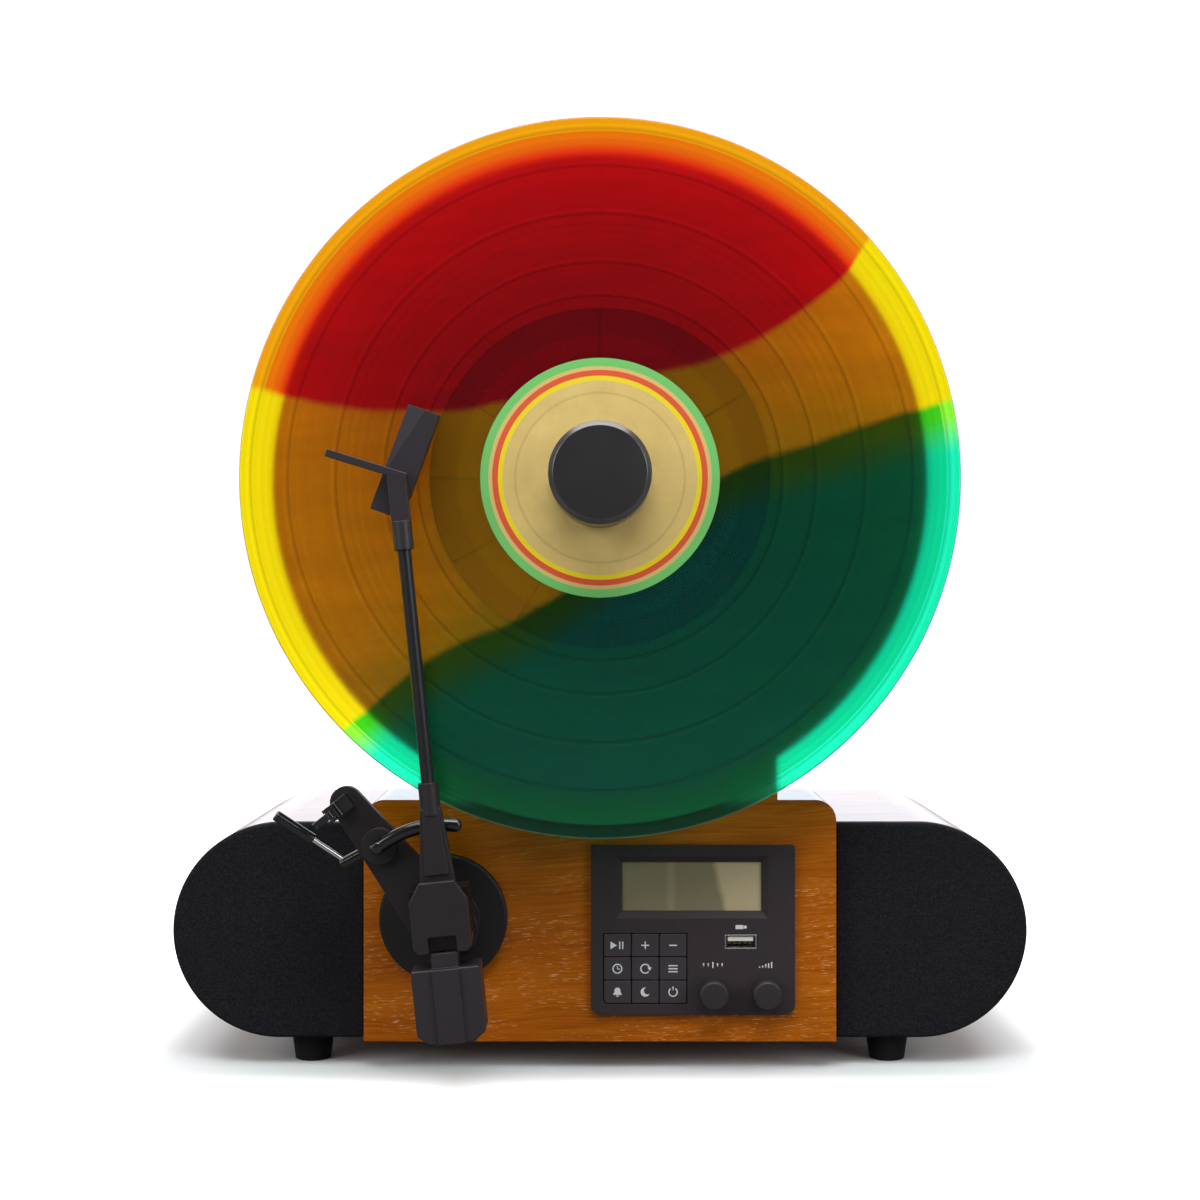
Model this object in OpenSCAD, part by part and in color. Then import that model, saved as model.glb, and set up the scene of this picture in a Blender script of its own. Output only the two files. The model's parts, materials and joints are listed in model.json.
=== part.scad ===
// Vertical record player: a round board on a speaker cabinet carries the record upright.
// X runs to the right, Y from the front to the back and Z up. The origin is on the ground
// under the middle of the whole player.

/* [Cabinet] */
// Width of the speaker cabinet
cabinet_w = 374; // [350:1:420]
// Height of the speaker cabinet
cabinet_h = 94; // [90:1:110]
// Depth of the speaker cabinet, front of the grilles to the rear edge
cabinet_d = 140; // [125:1:170]
// Wall of the bent cabinet shell
cabinet_wall = 8; // [6:0.5:9]
// Thickness of the cloth-covered grilles
grille_t = 6; // [5:0.5:8]
// Depth of the pocket in the back of each grille
grille_pocket = 4; // [3:0.5:4]
// Rim of each grille around its pocket
grille_rim = 4.5; // [3:0.5:5]
// Thickness of the speaker baffles
baffle_t = 9; // [6:0.5:12]
// Thickness of the rear panel
rear_panel_t = 4; // [3:0.5:5]
// Distance from the rear edge of the shell to the rear panel
rear_panel_inset = 10; // [9.5:0.5:14]
// Width of the lip that the rear panel is screwed to
lip_w = 8; // [7:0.5:10]
// Depth of that lip
lip_d = 12; // [10:0.5:16]

/* [Feet] */
// Height of the rubber feet
foot_h = 12.5; // [8:0.5:18]
// Diameter of a foot where it meets the cabinet
foot_top_d = 19; // [17:0.5:22]
// Diameter of a foot on the ground
foot_bottom_d = 15.5; // [12:0.5:17]
// Distance of the feet from the middle, sideways
foot_x = 128; // [116:1:128]
// Distance of the feet from the front and the rear of the cabinet
foot_inset = 17; // [16:0.5:24]

/* [Tower] */
// Height of the spindle above the underside of the cabinet
spindle_rise = 242.5; // [240:0.5:260]
// Radius of the round board behind the record
disc_r = 142; // [136:1:148]
// Width of the neck under the round board
neck_w = 154; // [130:1:170]
// Width of the lower board
lower_board_w = 205; // [200:1:212]
// Height of the lower board
lower_board_h = 104.8; // [102:0.1:112]
// Radius of the lower board's top corners
lower_board_r = 9; // [8.5:0.5:14]
// Depth of the tower, front of the board to its back cover
tower_d = 50; // [48:0.5:60]
// How far the board stands in front of the grilles
board_proud = 6.5; // [4:0.5:9]
// Thickness of the board
board_t = 12; // [10:0.5:14]
// Wall of the tower behind the board
tower_wall = 8; // [6:0.5:9]
// Thickness of the tower's back cover
back_cover_t = 4; // [3:0.5:5]
// Diameter of the posts that the back cover is screwed to
cover_post_d = 9; // [8:0.5:10]

/* [Turntable] */
// Diameter of the record
record_d = 301.6; // [299:0.1:304]
// Thickness of the record at its rim and label
record_t = 2; // [1.6:0.1:3]
// Distance from the board to the front of the record
record_stand = 30; // [28:0.5:36]
// Diameter of the hole in the record
record_hole_d = 7.3; // [7.2:0.02:7.34]
// Depth of the grooved band below the rim
groove_sink = 0.1; // [0.05:0.05:0.2]
// Inner diameter of the grooved band
groove_inner_d = 116; // [110:1:124]
// Outer diameter of the grooved band
groove_outer_d = 292; // [288:1:294]
// Diameter of the paper labels
label_d = 100; // [90:1:104]
// Thickness of the paper labels
label_t = 0.15; // [0.1:0.05:0.3]
// Diameter of the platter
platter_d = 143; // [120:1:180]
// Thickness of the platter's disc
platter_t = 10; // [7:0.5:12]
// Diameter of the platter's hub
platter_hub_d = 36; // [30:1:44]
// Thickness of the platter's pad
pad_t = 2; // [1.5:0.5:3]
// Number of radial grooves in the pad
pad_grooves = 12; // [6:1:18]
// Diameter of the spindle in its bearing
spindle_d = 8; // [7.6:0.1:9]
// Diameter of the spindle's tip
spindle_tip_d = 7.15; // [7.1:0.01:7.16]
// Length of the spindle's tip in front of the label
spindle_tip_l = 14; // [10:0.5:18]
// Diameter of the record clamp
clamp_d = 41.6; // [36:0.2:50]
// Height of the record clamp
clamp_h = 34; // [26:0.5:40]
// Chamfer at the front of the record clamp
clamp_chamfer = 1.9; // [1:0.1:3]

/* [Drive] */
// Diameter of the spindle bearing's barrel
bearing_d = 18; // [16:0.5:22]
// Length of the spindle bearing behind the front of the board
bearing_l = 28; // [26:0.5:29]
// Diameter of the spindle bearing's flange
bearing_flange_d = 40; // [34:1:46]
// Thickness of the spindle bearing's flange
bearing_flange_t = 4; // [3:0.5:6]
// Diameter of the driven pulley
pulley_d = 100; // [80:1:110]
// Thickness of the pulleys
pulley_t = 8; // [6:0.5:9]
// Diameter of the motor pulley
motor_pulley_d = 10; // [8:0.5:14]
// Diameter of the motor
motor_d = 32; // [26:1:36]
// Length of the motor
motor_l = 16; // [14:0.5:17]
// Diameter of the motor's shaft
motor_shaft_d = 3; // [2:0.1:4]
// Distance from the spindle to the motor
motor_reach = 80; // [78:1:88]
// Direction of the motor from the spindle, in degrees
motor_angle = -40; // [-60:1:-20]
// Thickness of the drive belt
belt_t = 1.5; // [1:0.1:2]
// Width of the drive belt
belt_w = 5; // [4:0.5:6]

/* [Speakers] */
// Diameter of each driver's flange
driver_d = 64; // [60:0.5:65]
// Diameter of each driver's basket at the baffle
basket_d = 56; // [50:0.5:56]
// Depth of each driver's basket
basket_depth = 18; // [16:0.5:24]
// Diameter of each driver's magnet
magnet_d = 44; // [38:0.5:50]
// Thickness of each driver's magnet
magnet_t = 12; // [10:0.5:16]
// Thickness of each driver's flange
flange_t = 2; // [1.5:0.25:2.5]

/* [Control panel] */
// Width of the control panel
fascia_w = 88.2; // [88:0.2:92]
// Height of the control panel
fascia_h = 73.2; // [73:0.2:76]
// Middle of the control panel, to the right of the player's middle
fascia_x = 40.2; // [38:0.2:44]
// Underside of the control panel above the underside of the cabinet
fascia_rise = 12.2; // [11:0.2:16]
// How far the control panel stands in front of the board
fascia_proud = 2.6; // [2.2:0.1:3.2]
// Radius of the control panel's lower corners
fascia_r = 4.5; // [3:0.5:8]
// How far the control panel laps over the board
fascia_lap = 3; // [2.5:0.1:3]
// Width of the display window
window_w = 60.3; // [54:0.1:64]
// Height of the display window
window_h = 21.2; // [18:0.1:22]
// Bevel around the display window
window_bevel = 2.9; // [2:0.1:3.2]
// Thickness of the display window
window_t = 1.2; // [1:0.1:1.5]
// Width of one key with its gap
key_pitch_w = 12.03; // [11.4:0.01:12.1]
// Height of one key with its gap
key_pitch_h = 10.1; // [9.6:0.1:10.1]
// Gap around the keys
key_gap = 0.4; // [0.3:0.05:0.6]
// Travel of the keys
key_travel = 0.6; // [0.4:0.1:0.8]
// Width of the memory-stick socket
usb_w = 13.8; // [13.2:0.1:14.4]
// Height of the memory-stick socket
usb_h = 6.2; // [5.8:0.1:6.6]
// Diameter of the knobs
knob_d = 12.6; // [10.5:0.1:14]
// Height of the knobs
knob_h = 10; // [8:0.5:14]
// Diameter of the knobs' shafts
knob_shaft_d = 6; // [4:0.5:6]

/* [Tonearm] */
// Pivot of the tonearm, to the left of the player's middle
arm_x = 63.9; // [60:0.1:66]
// Pivot of the tonearm above the underside of the cabinet
arm_rise = 54; // [52:0.1:56]
// Lean of the tonearm to the left, in degrees
arm_tilt = 5.8; // [2:0.1:10]
// Height of the tonearm's tube above the record
arm_over_record = 16; // [15:0.5:18]
// Diameter of the tonearm's round base
arm_base_d = 55.2; // [50:0.2:58]
// Thickness of the tonearm's round base
arm_base_t = 5; // [3:0.5:7]
// Middle of the round base, to the left of the pivot
arm_base_shift = 3.8; // [2:0.1:5]
// Diameter of the upright that carries the pivot
upright_d = 24; // [23:0.5:26]
// Diameter of the pivot shaft
pivot_d = 8; // [6:0.5:9]
// Diameter of the tonearm's tube
tube_d = 5.5; // [4.5:0.1:6]
// Wall of the tonearm's tube
tube_wall = 0.75; // [0.5:0.05:1.2]
// End of the tonearm's tube at the headshell, from the pivot
tube_reach = 158.7; // [152:0.1:162]
// Width of the pivot's cap
cap_w = 24; // [23:0.5:27]
// Thickness of the pivot's cap
cap_t = 4; // [3:0.5:5]
// Front edge of the pivot's cap, from the pivot
cap_front = 23.6; // [22:0.1:25]
// Rear edge of the pivot's cap, from the pivot
cap_rear = 5.4; // [5:0.1:7]
// Thickness of the tonearm's beam
beam_t = 4.8; // [4.4:0.1:5]
// Width of the tonearm's beam in the pivot
beam_w = 14; // [12:0.5:14.5]
// Diameter of the tonearm's collar
collar_d = 8.4; // [7.8:0.1:9]
// Front end of the tonearm's tapered housing, from the pivot
housing_reach = 52.9; // [50.5:0.1:54]
// Length of the tonearm's collar
collar_l = 10.4; // [8:0.1:10.5]
// Diameter of the lift pin
lift_pin_d = 3; // [2:0.1:3.2]
// Width of the counterweight
weight_w = 28; // [24:0.5:32]
// Length of the counterweight
weight_l = 30.5; // [26:0.5:34]
// Thickness of the counterweight
weight_t = 17; // [14:0.5:17]
// Length of the counterweight's stem
stem_l = 6; // [6:0.1:8]
// Width of the counterweight's stem
stem_w = 11; // [9:0.5:11]

/* [Head] */
// Length of the collar behind the headshell
head_collar_l = 11.9; // [10.5:0.1:14]
// Length of the headshell's neck
head_neck_l = 22.4; // [21:0.1:24]
// Width of the headshell's neck
head_neck_w = 7.8; // [7:0.1:8]
// Length of the finger lift
finger_l = 30; // [26:0.5:34]
// Width of the finger lift
finger_w = 3.2; // [2.5:0.1:4]
// Direction of the finger lift from the headshell, in degrees
finger_angle = 157.2; // [145:0.2:170]
// Width of the cartridge
cartridge_w = 13.5; // [12:0.1:15]
// Length of the cartridge
cartridge_l = 45.6; // [44:0.1:48]
// Offset angle of the cartridge, in degrees
cartridge_turn = 25.9; // [22:0.1:28]
// Clearance of the stylus over the record's rim
stylus_gap = 0.2; // [0.15:0.05:0.4]

/* [Arm rest and lift] */
// Direction of the arm rest from the pivot, in degrees left of upright
rest_angle = 38; // [37:0.5:40]
// Distance of the arm rest from the pivot
rest_reach = 67.7; // [67:0.1:72]
// Width of the arm rest's bar at the pivot
rest_wide = 26; // [25.5:0.5:28]
// Width of the arm rest's bar at its end
rest_narrow = 13.4; // [13:0.1:15]
// Thickness of the arm rest's bar
rest_t = 4; // [3:0.5:4]
// Radius of the lift arc around the pivot
lift_r = 45; // [44.5:0.1:45.5]
// Thickness of the lift arc's rod
lift_rod_d = 4; // [3:0.1:4.2]
// Sweep of the lift arc, in degrees
lift_sweep = 47; // [40:1:52]
// Diameter of the lift plunger
plunger_d = 5; // [4.6:0.1:6]
// Diameter of the round boss around the plunger
boss_d = 14.8; // [13:0.1:15]
// Diameter of the cue lever's shaft
lever_shaft_d = 5; // [4:0.1:5]
// Length of the cue lever's shaft outside the plunger's axis
lever_shaft_l = 19; // [17:0.5:22]
// Direction of the cue lever's shaft from the arm rest's bar, in degrees
lever_shaft_angle = 170; // [165:1:175]
// Diameter of the cue lever's rod
lever_rod_d = 2.2; // [1.6:0.1:2.6]
// Length of the cue lever's rod with its grip
lever_rod_l = 36; // [30:0.5:40]
// Direction of the cue lever's rod from the arm rest's bar, in degrees
lever_rod_angle = 106.8; // [100:0.2:115]
// Rise of the cue lever's rod towards the front, in degrees
lever_rod_rise = 10; // [0:1:15]
// Diameter of the cue lever's grip
lever_grip_d = 4.6; // [3.8:0.1:6]
// Length of the cue lever's grip
lever_grip_l = 19; // [15:0.5:21]
// Length of the rest latch
latch_l = 10; // [9:0.5:13]
// Lean of the open latch away from the arm, in degrees
latch_open = 40; // [30:1:60]
// Rise of the arm when the lift is up, in degrees
lift_angle = 3; // [2:0.1:4]

/* [Fits] */
// Clearance around a running shaft
run_gap = 0.03; // [0.02:0.01:0.06]
// Clearance around a glued or pressed seat
seat_gap = 0.02; // [0.01:0.01:0.05]
// Clearance around a panel in its opening
panel_gap = 0.3; // [0.2:0.05:0.4]
// Clearance between a moving face and a fixed face
face_gap = 0.3; // [0.2:0.05:0.4]
// Diameter of the screws
screw_d = 2.8; // [2.4:0.1:3]
// Length of the screws
screw_l = 10; // [8:0.5:12]
// Diameter of the screw heads
screw_head_d = 5.6; // [5:0.1:6]
// Height of the screw heads
screw_head_t = 2; // [1.5:0.1:2.2]

/* [Hidden] */
$fn = 96;
// Extra length of every cut, so that no cut ends on a face
cut = 1;

// Planes across the player, from the front to the back
front_reach = board_proud + record_stand + label_t + clamp_h;
y_grille = (front_reach - cabinet_d) / 2;
y_board = y_grille - board_proud;
y_shell = y_grille + grille_t;
y_tower_back = y_board + tower_d;
y_rear = y_grille + cabinet_d;
y_panel = y_rear - rear_panel_inset - rear_panel_t;
y_panel_back = y_panel + rear_panel_t;
y_lip = y_panel - lip_d;

// Cabinet
cabinet_z = foot_h + cabinet_h / 2;
cabinet_at = [0, cabinet_z];
inner_w = cabinet_w - 2 * cabinet_wall;
inner_h = cabinet_h - 2 * cabinet_wall;
driver_x = (lower_board_w / 2 + inner_w / 2) / 2;
pilot_d = screw_d + 2 * 0.1;
shank_hole_d = screw_d + 2 * 0.2;
panel_screws = [
    for (side = [-1, 1]) [side * (inner_w / 2 - lip_w / 2), 0],
    for (side = [-1, 1], level = [-1, 1]) [side * inner_w / 4, level * (inner_h / 2 - lip_w / 2)]
];
driver_screw_r = (driver_d + basket_d) / 4;
driver_screws = [for (a = [45:90:315]) driver_screw_r * [cos(a), sin(a)]];

// Rear connectors and the main circuit board, from the middle of the rear panel
inlet_at = [-70, 0];
inlet_body = 11;
inlet_neck_d = 9.6;
inlet_bore_d = 6.4;
inlet_pin_d = 2;
inlet_depth = 9;
jacks_at = [-30, 0];
jack_pitch = 16;
jack_d = 8.3;
jack_bore_d = 3.3;
jack_plate = [30, 13];
jack_plate_t = 1.5;
jack_l = 9;
main_board_at = [62, 0];
main_board_size = [104, 58];
circuit_t = 1.6;
standoff_d = 6;
standoff_l = 12;
standoff_in = 5;
sink_size = [46, 26];
sink_at = [22, 0];
sink_base = 4;
sink_h = 20;
sink_fins = 6;
fin_t = 2;
capacitors = [[-36, -12], [-20, -12], [-36, 8]];
capacitor_d = 12;
capacitor_h = 22;

// Tower
spindle_z = foot_h + spindle_rise;
spindle_at = [0, spindle_z];
cover_post_r = disc_r - tower_wall - cover_post_d / 2 + cut;
cover_corner_x = lower_board_w / 2 - tower_wall - cover_post_d / 2 + cut;
cover_corner_z = foot_h + tower_wall + cover_post_d / 2 - cut;
cover_posts = [
    for (a = [25, 90, 155, 215, 325]) spindle_at + cover_post_r * [cos(a), sin(a)],
    for (side = [-1, 1]) [side * cover_corner_x, cover_corner_z]
];
wire_hole = [34, 14];
wire_hole_z = cabinet_z;

// Turntable stack, as heights in front of the board
record_back = record_stand - record_t;
pad_front = record_back - label_t;
pad_back = pad_front - pad_t;
platter_back = pad_back - platter_t;
bearing_front = 1.2;
hub_back = bearing_front + face_gap;
label_front = record_stand + label_t;
clamp_front = label_front + clamp_h;
pad_groove = 0.6;
pulley_front = -bearing_l - face_gap - 2.7;
pulley_back = pulley_front - pulley_t;
spindle_back = pulley_back - 1.5;
motor_at = spindle_at + motor_reach * [cos(motor_angle), sin(motor_angle)];
belt_gap = 0.2;
motor_boss_l = 2;

// Control panel, from its own middle
fascia_at = [fascia_x, foot_h + fascia_rise + fascia_h / 2];
fascia_top_r = 1;
cutout = [fascia_w - 2 * fascia_lap, fascia_h - 2 * fascia_lap];
spigot = cutout - 2 * [panel_gap, panel_gap];
spigot_wall = 2;
spigot_l = 8;
window_at = [-0.5, 18.6];
window_edge = 1;
window_land = 0.8;
display_edge = 2;
display_t = 6;
grid = 3 * [key_pitch_w, key_pitch_h] + [key_gap, key_gap];
grid_at = [-20.65, -16.65];
grid_r = 2;
guide_wall = 1.2;
guide_top = -3;
guide_t = 2;
key_back = -1.5;
key_proud = 0.2;
stem = 4.6;
stem_back = -7;
stem_gap = 0.2;
circuit_front = -11.4;
switch_w = 6;
switch_gap = 0.1;
usb_at = [20.6, -5.1];
usb_wall = 0.5;
usb_floor = 2;
tongue = [11, 1.9];
tune_at = [8.6, -26.5];
volume_at = [31.4, -26.5];
bush_d = knob_shaft_d + 2.6;
knob_base = fascia_proud + 0.6;
control_depth = 8.4;
control_w = 11;
control_shift = 1;
shaft_back = -3;
key_board_w = spigot.x - 2 * spigot_wall - 1;
key_board_low = -spigot.y / 2 + spigot_wall + 0.3;
key_board_high = 2.2;
post_d = 4;
guide_post_d = 3.4;
guide_posts = [
    grid_at + [-key_pitch_w, key_pitch_h] / 2,
    grid_at + [key_pitch_w, -key_pitch_h] / 2
];
side_posts = [[20, -28.5], [36, -9]];

// Tonearm, in the arm's own frame: X across it, Y along it, Z as height in front of the board
arm_at = [-arm_x, foot_h + arm_rise];
arm_w = record_stand + arm_over_record;
spigot_d = pivot_d + 7;
upright_drop = 13;
upright_top = arm_w - upright_drop;
shoulder = upright_top - rest_t;
shoulder_d = upright_d - 4;
yoke_base = upright_top + face_gap;
yoke_base_t = 2.6;
yoke_front = 20;
yoke_rear = 4;
yoke_w = cap_w - 0.2;
cap_lift = 4;
cap_back = arm_w + cap_lift;
cap_top_w = 14.6;
cap_slope = 7.8;
cap_corner = 2;
notch = [stem_w + 0.4, 6.6];
beam_low = arm_w - beam_t / 2;
beam_high = arm_w + beam_t / 2;
beam_rear = cap_rear + 0.2;
strip_h = 1;
strip_margin = 2;
collar_back = housing_reach - 3;
tube_back = housing_reach + 1;
tube_front = tube_reach + head_collar_l - 1.5;
weight_rear = beam_rear + stem_l + weight_l;
weight_behind = 9;
weight_low = arm_w - weight_behind;
weight_chamfer = [5, 4];
weight_strip = 1.5;

// Head
neck_t = 5;
neck_low = arm_w - neck_t / 2;
neck_back = tube_reach + head_collar_l;
neck_front = neck_back + head_neck_l;
head_collar_d = 8.2;
finger_t = 2;
cartridge_at = [3.5, neck_front + 1.8];
cartridge_over = 6;
cartridge_low = record_stand + cartridge_over;
carrier_over = 3;
carrier_low = record_stand + carrier_over;
carrier_w = 9;
carrier_back = -4;
carrier_front = 20;
stylus_at = 15;
stylus_seat_over = 1.8;
stylus_seat = record_stand + stylus_seat_over;
stylus_holder = [3.2, 7];
stylus_tip_d = 0.4;
stylus_root_d = 1.4;

// Arm rest and lift, in the rest's own frame: X across the bar, Y along it
lift_gap = 1.6;
lift_w = beam_low - lift_gap - lift_rod_d / 2;
boss_gap = 2;
boss_top = lift_w - lift_rod_d / 2 - boss_gap;
boss_drop = 9;
boss_low = shoulder - boss_drop;
lever_w = shoulder - 0.5 - lever_shaft_d / 2;
plunger_low = lever_w + lever_shaft_d / 2 + 0.4;
plunger_high = lift_w + lift_rod_d / 2 + 0.3;
bead_d = lift_rod_d + 0.4;
shaft_in = 4;
clip_l = 6.4;
clip_wall = 3;
clip_air = 0.4;
shelf_w = 6;
ear_t = 1.4;
ear_h = 3.4;
latch_pin_d = 1.6;
latch_barrel_d = 3.2;
latch_t = 1.4;
clip_wall_x = -(tube_d / 2 + clip_air + clip_wall);
latch_gap = 0.2;
latch_x = clip_wall_x + clip_wall / 2;
lifted_top = arm_w + (rest_reach + clip_l / 2) * sin(lift_angle) + tube_d / 2 / cos(lift_angle);
latch_w = lifted_top + clip_air + latch_t / 2;
clip_wall_top = latch_w - latch_barrel_d / 2 - latch_gap;

wood = [0.62, 0.34, 0.10];
black = [0.17, 0.16, 0.18];
steel = [0.75, 0.75, 0.77];

// Frames and outlines

// Extrudes an outline in X and Z from plane y towards the back
module slab(y, t, at = [0, 0]) {
    translate([at.x, y + t, at.y])
        rotate([90, 0, 0])
            linear_extrude(t) children();
}

// Stands its children on the board: X right, Y up, Z out towards the front
module on_board(at) {
    translate([at.x, y_board, at.y])
        rotate([90, 0, 0]) children();
}

// Turns the board's frame along the tonearm
module along_arm() {
    on_board(arm_at) rotate(arm_tilt) children();
}

// Turns the board's frame along the arm rest
module along_rest() {
    on_board(arm_at) rotate(rest_angle) children();
}

// Carries the arm's frame to the cartridge
module along_cartridge() {
    along_arm() translate(cartridge_at) rotate(-cartridge_turn) children();
}

// Stands its children on a baffle: Z runs into the cabinet
module on_baffle(side) {
    translate([side * driver_x, y_shell, cabinet_z])
        rotate([-90, 0, 0]) children();
}

// A cylinder along Y of the arm's frame, between two places
module bar_along(from, to, d) {
    translate([0, from, arm_w])
        rotate([-90, 0, 0]) cylinder(d = d, h = to - from);
}

// A box given by its two corners
module box(low, high) {
    translate(low) cube(high - low);
}

// A rectangle with round ends
module stadium(w, h) {
    square([w - h, h], center = true);
    for (side = [-1, 1]) translate([side * (w - h) / 2, 0]) circle(d = h);
}

// The tower's outline: lower board, neck and round board, drawn in by an inset
module tower_outline(inset = 0) {
    w = lower_board_w - 2 * inset;
    low = foot_h + inset;
    high = foot_h + lower_board_h - inset;
    r = max(lower_board_r - inset, 0.4);
    translate(spindle_at) circle(disc_r - inset);
    translate([inset - neck_w / 2, low + cut])
        square([neck_w - 2 * inset, spindle_z - low - cut]);
    translate([-w / 2, low]) square([w, high - r - low]);
    translate([r - w / 2, low]) square([w - 2 * r, high - low]);
    for (side = [-1, 1]) translate([side * (w / 2 - r), high - r]) circle(r);
}

// Cabinet

module cabinet_shell() {
    color(wood) difference() {
        slab(y_shell, y_rear - y_shell, cabinet_at) stadium(cabinet_w, cabinet_h);
        slab(y_shell - cut, y_rear - y_shell + 2 * cut, cabinet_at) stadium(inner_w, inner_h);
        slab(y_shell - cut, y_tower_back - y_shell + cut) tower_outline(-panel_gap);
    }
}

// The frame inside the cabinet that the rear panel is screwed to
module rear_cleats() {
    color("tan") difference() {
        slab(y_lip, lip_d, cabinet_at)
            stadium(inner_w - 2 * seat_gap, inner_h - 2 * seat_gap);
        slab(y_lip - cut, lip_d + 2 * cut, cabinet_at)
            stadium(inner_w - 2 * lip_w, inner_h - 2 * lip_w);
        for (p = panel_screws)
            slab(y_panel_back - screw_l - cut, screw_l, cabinet_at + p) circle(d = pilot_d);
    }
}

module speaker_baffles() {
    color("dimgray") difference() {
        slab(y_shell, baffle_t, cabinet_at)
            stadium(inner_w - 2 * seat_gap, inner_h - 2 * seat_gap);
        slab(y_shell - cut, baffle_t + 2 * cut) tower_outline(-panel_gap);
        for (side = [-1, 1])
            slab(y_shell - cut, baffle_t + 2 * cut, [side * driver_x, cabinet_z])
                circle(d = basket_d + 2 * panel_gap);
        for (side = [-1, 1], p = driver_screws)
            slab(y_shell - cut, baffle_t + 2 * cut, [side * driver_x, cabinet_z] + p)
                circle(d = pilot_d);
    }
}

// A cloth-covered panel with a pocket in its back, on one side of the tower
module grille(side) {
    edge = lower_board_w / 2 + panel_gap;
    color("black") difference() {
        slab(y_grille, grille_t, cabinet_at) half_stadium(cabinet_w, cabinet_h, side, edge);
        slab(y_shell - grille_pocket, grille_pocket + cut, cabinet_at)
            half_stadium(cabinet_w - 2 * grille_rim, cabinet_h - 2 * grille_rim, side,
                edge + grille_rim);
    }
}

// The end of a stadium beyond an upright edge
module half_stadium(w, h, side, edge) {
    middle = (w - h) / 2;
    translate([side * (edge + middle) / 2, 0]) square([middle - edge, h], center = true);
    intersection() {
        translate([side * middle, 0]) circle(d = h);
        translate([side * (edge + w) / 2, 0]) square([w - edge, h + cut], center = true);
    }
}

module left_grille() {
    grille(-1);
}

module right_grille() {
    grille(1);
}

module rear_panel() {
    color(black) difference() {
        union() {
            slab(y_panel, rear_panel_t, cabinet_at)
                stadium(inner_w - 2 * panel_gap, inner_h - 2 * panel_gap);
            for (sx = [-1, 1], sz = [-1, 1])
                slab(y_panel - standoff_l, standoff_l + cut, cabinet_at + main_board_at
                    + [sx * (main_board_size.x / 2 - standoff_in),
                       sz * (main_board_size.y / 2 - standoff_in)])
                    circle(d = standoff_d);
        }
        for (p = panel_screws)
            slab(y_panel - cut, rear_panel_t + 2 * cut, cabinet_at + p)
                circle(d = shank_hole_d);
        slab(y_panel - cut, rear_panel_t + 2 * cut, cabinet_at + inlet_at)
            circle(d = inlet_neck_d + 2 * panel_gap);
        for (side = [-1, 1])
            slab(y_panel - cut, rear_panel_t + 2 * cut, cabinet_at + jacks_at
                + [side * jack_pitch / 2, 0])
                circle(d = jack_d + 2 * panel_gap);
    }
}

module feet() {
    color("black")
        for (side = [-1, 1], y = [y_grille + foot_inset, y_rear - foot_inset])
            translate([side * foot_x, y, 0])
                cylinder(d1 = foot_bottom_d, d2 = foot_top_d, h = foot_h);
}

// Speakers

module driver_frames() {
    r = basket_d / 2;
    hub = magnet_d / 2 - 1;
    wall = 2;
    coil = 10;
    color("dimgray") for (side = [-1, 1]) on_baffle(side) difference() {
        rotate_extrude() polygon([
            [r - wall, -flange_t], [driver_d / 2, -flange_t], [driver_d / 2, 0], [r, 0],
            [hub, basket_depth - wall], [hub, basket_depth], [coil, basket_depth],
            [coil, basket_depth - wall], [hub - wall, basket_depth - wall], [r - wall, 0]
        ]);
        for (p = driver_screws)
            translate([p.x, p.y, -flange_t - cut])
                cylinder(d = shank_hole_d, h = flange_t + 2 * cut);
    }
}

module driver_cones() {
    rim = basket_d / 2 - 2.1;
    roll = rim - 4;
    coil = 8.5;
    paper = 0.8;
    front = 0.4 - flange_t;
    depth = basket_depth - 6;
    color("black") for (side = [-1, 1]) on_baffle(side) rotate_extrude() polygon([
        [0, depth - 4], [coil - paper, depth - 1], [roll, front], [rim, front],
        [rim, front + paper], [roll + paper / 2, front + paper], [coil, depth],
        [coil, basket_depth - 2.5], [0, basket_depth - 2.5]
    ]);
}

module driver_magnets() {
    color("gray") for (side = [-1, 1]) on_baffle(side)
        translate([0, 0, basket_depth]) cylinder(d = magnet_d, h = magnet_t);
}

// Tower

// The wall behind the board, with the posts that the back cover is screwed to
module tower_shell() {
    front = y_board + board_t;
    color(wood) difference() {
        union() {
            difference() {
                slab(front, tower_d - board_t) tower_outline();
                slab(front - cut, tower_d - board_t + 2 * cut) tower_outline(tower_wall);
            }
            for (p = cover_posts)
                slab(front, tower_d - board_t - back_cover_t, p) circle(d = cover_post_d);
        }
        for (p = cover_posts)
            slab(y_tower_back - screw_l - cut, screw_l + 2 * cut, p) circle(d = pilot_d);
    }
}

module tower_board() {
    color(wood) difference() {
        slab(y_board, board_t) tower_outline();
        slab(y_board - cut, board_t + 2 * cut, spindle_at)
            circle(d = bearing_d + 2 * seat_gap);
        slab(y_board - cut, board_t + 2 * cut, arm_at) circle(d = spigot_d + 2 * seat_gap);
        slab(y_board - cut, board_t + 2 * cut, fascia_at) square(cutout, center = true);
    }
}

module tower_back_cover() {
    color(black) slab(y_tower_back - back_cover_t, back_cover_t) difference() {
        tower_outline(tower_wall + panel_gap);
        for (p = cover_posts) translate(p) circle(d = shank_hole_d);
        translate([0, wire_hole_z]) square(wire_hole, center = true);
    }
}

// A screw with its head towards the back
module screw() {
    rotate([90, 0, 0]) cylinder(d = screw_d, h = screw_l);
    rotate([-90, 0, 0]) cylinder(d = screw_head_d, h = screw_head_t);
}

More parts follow.
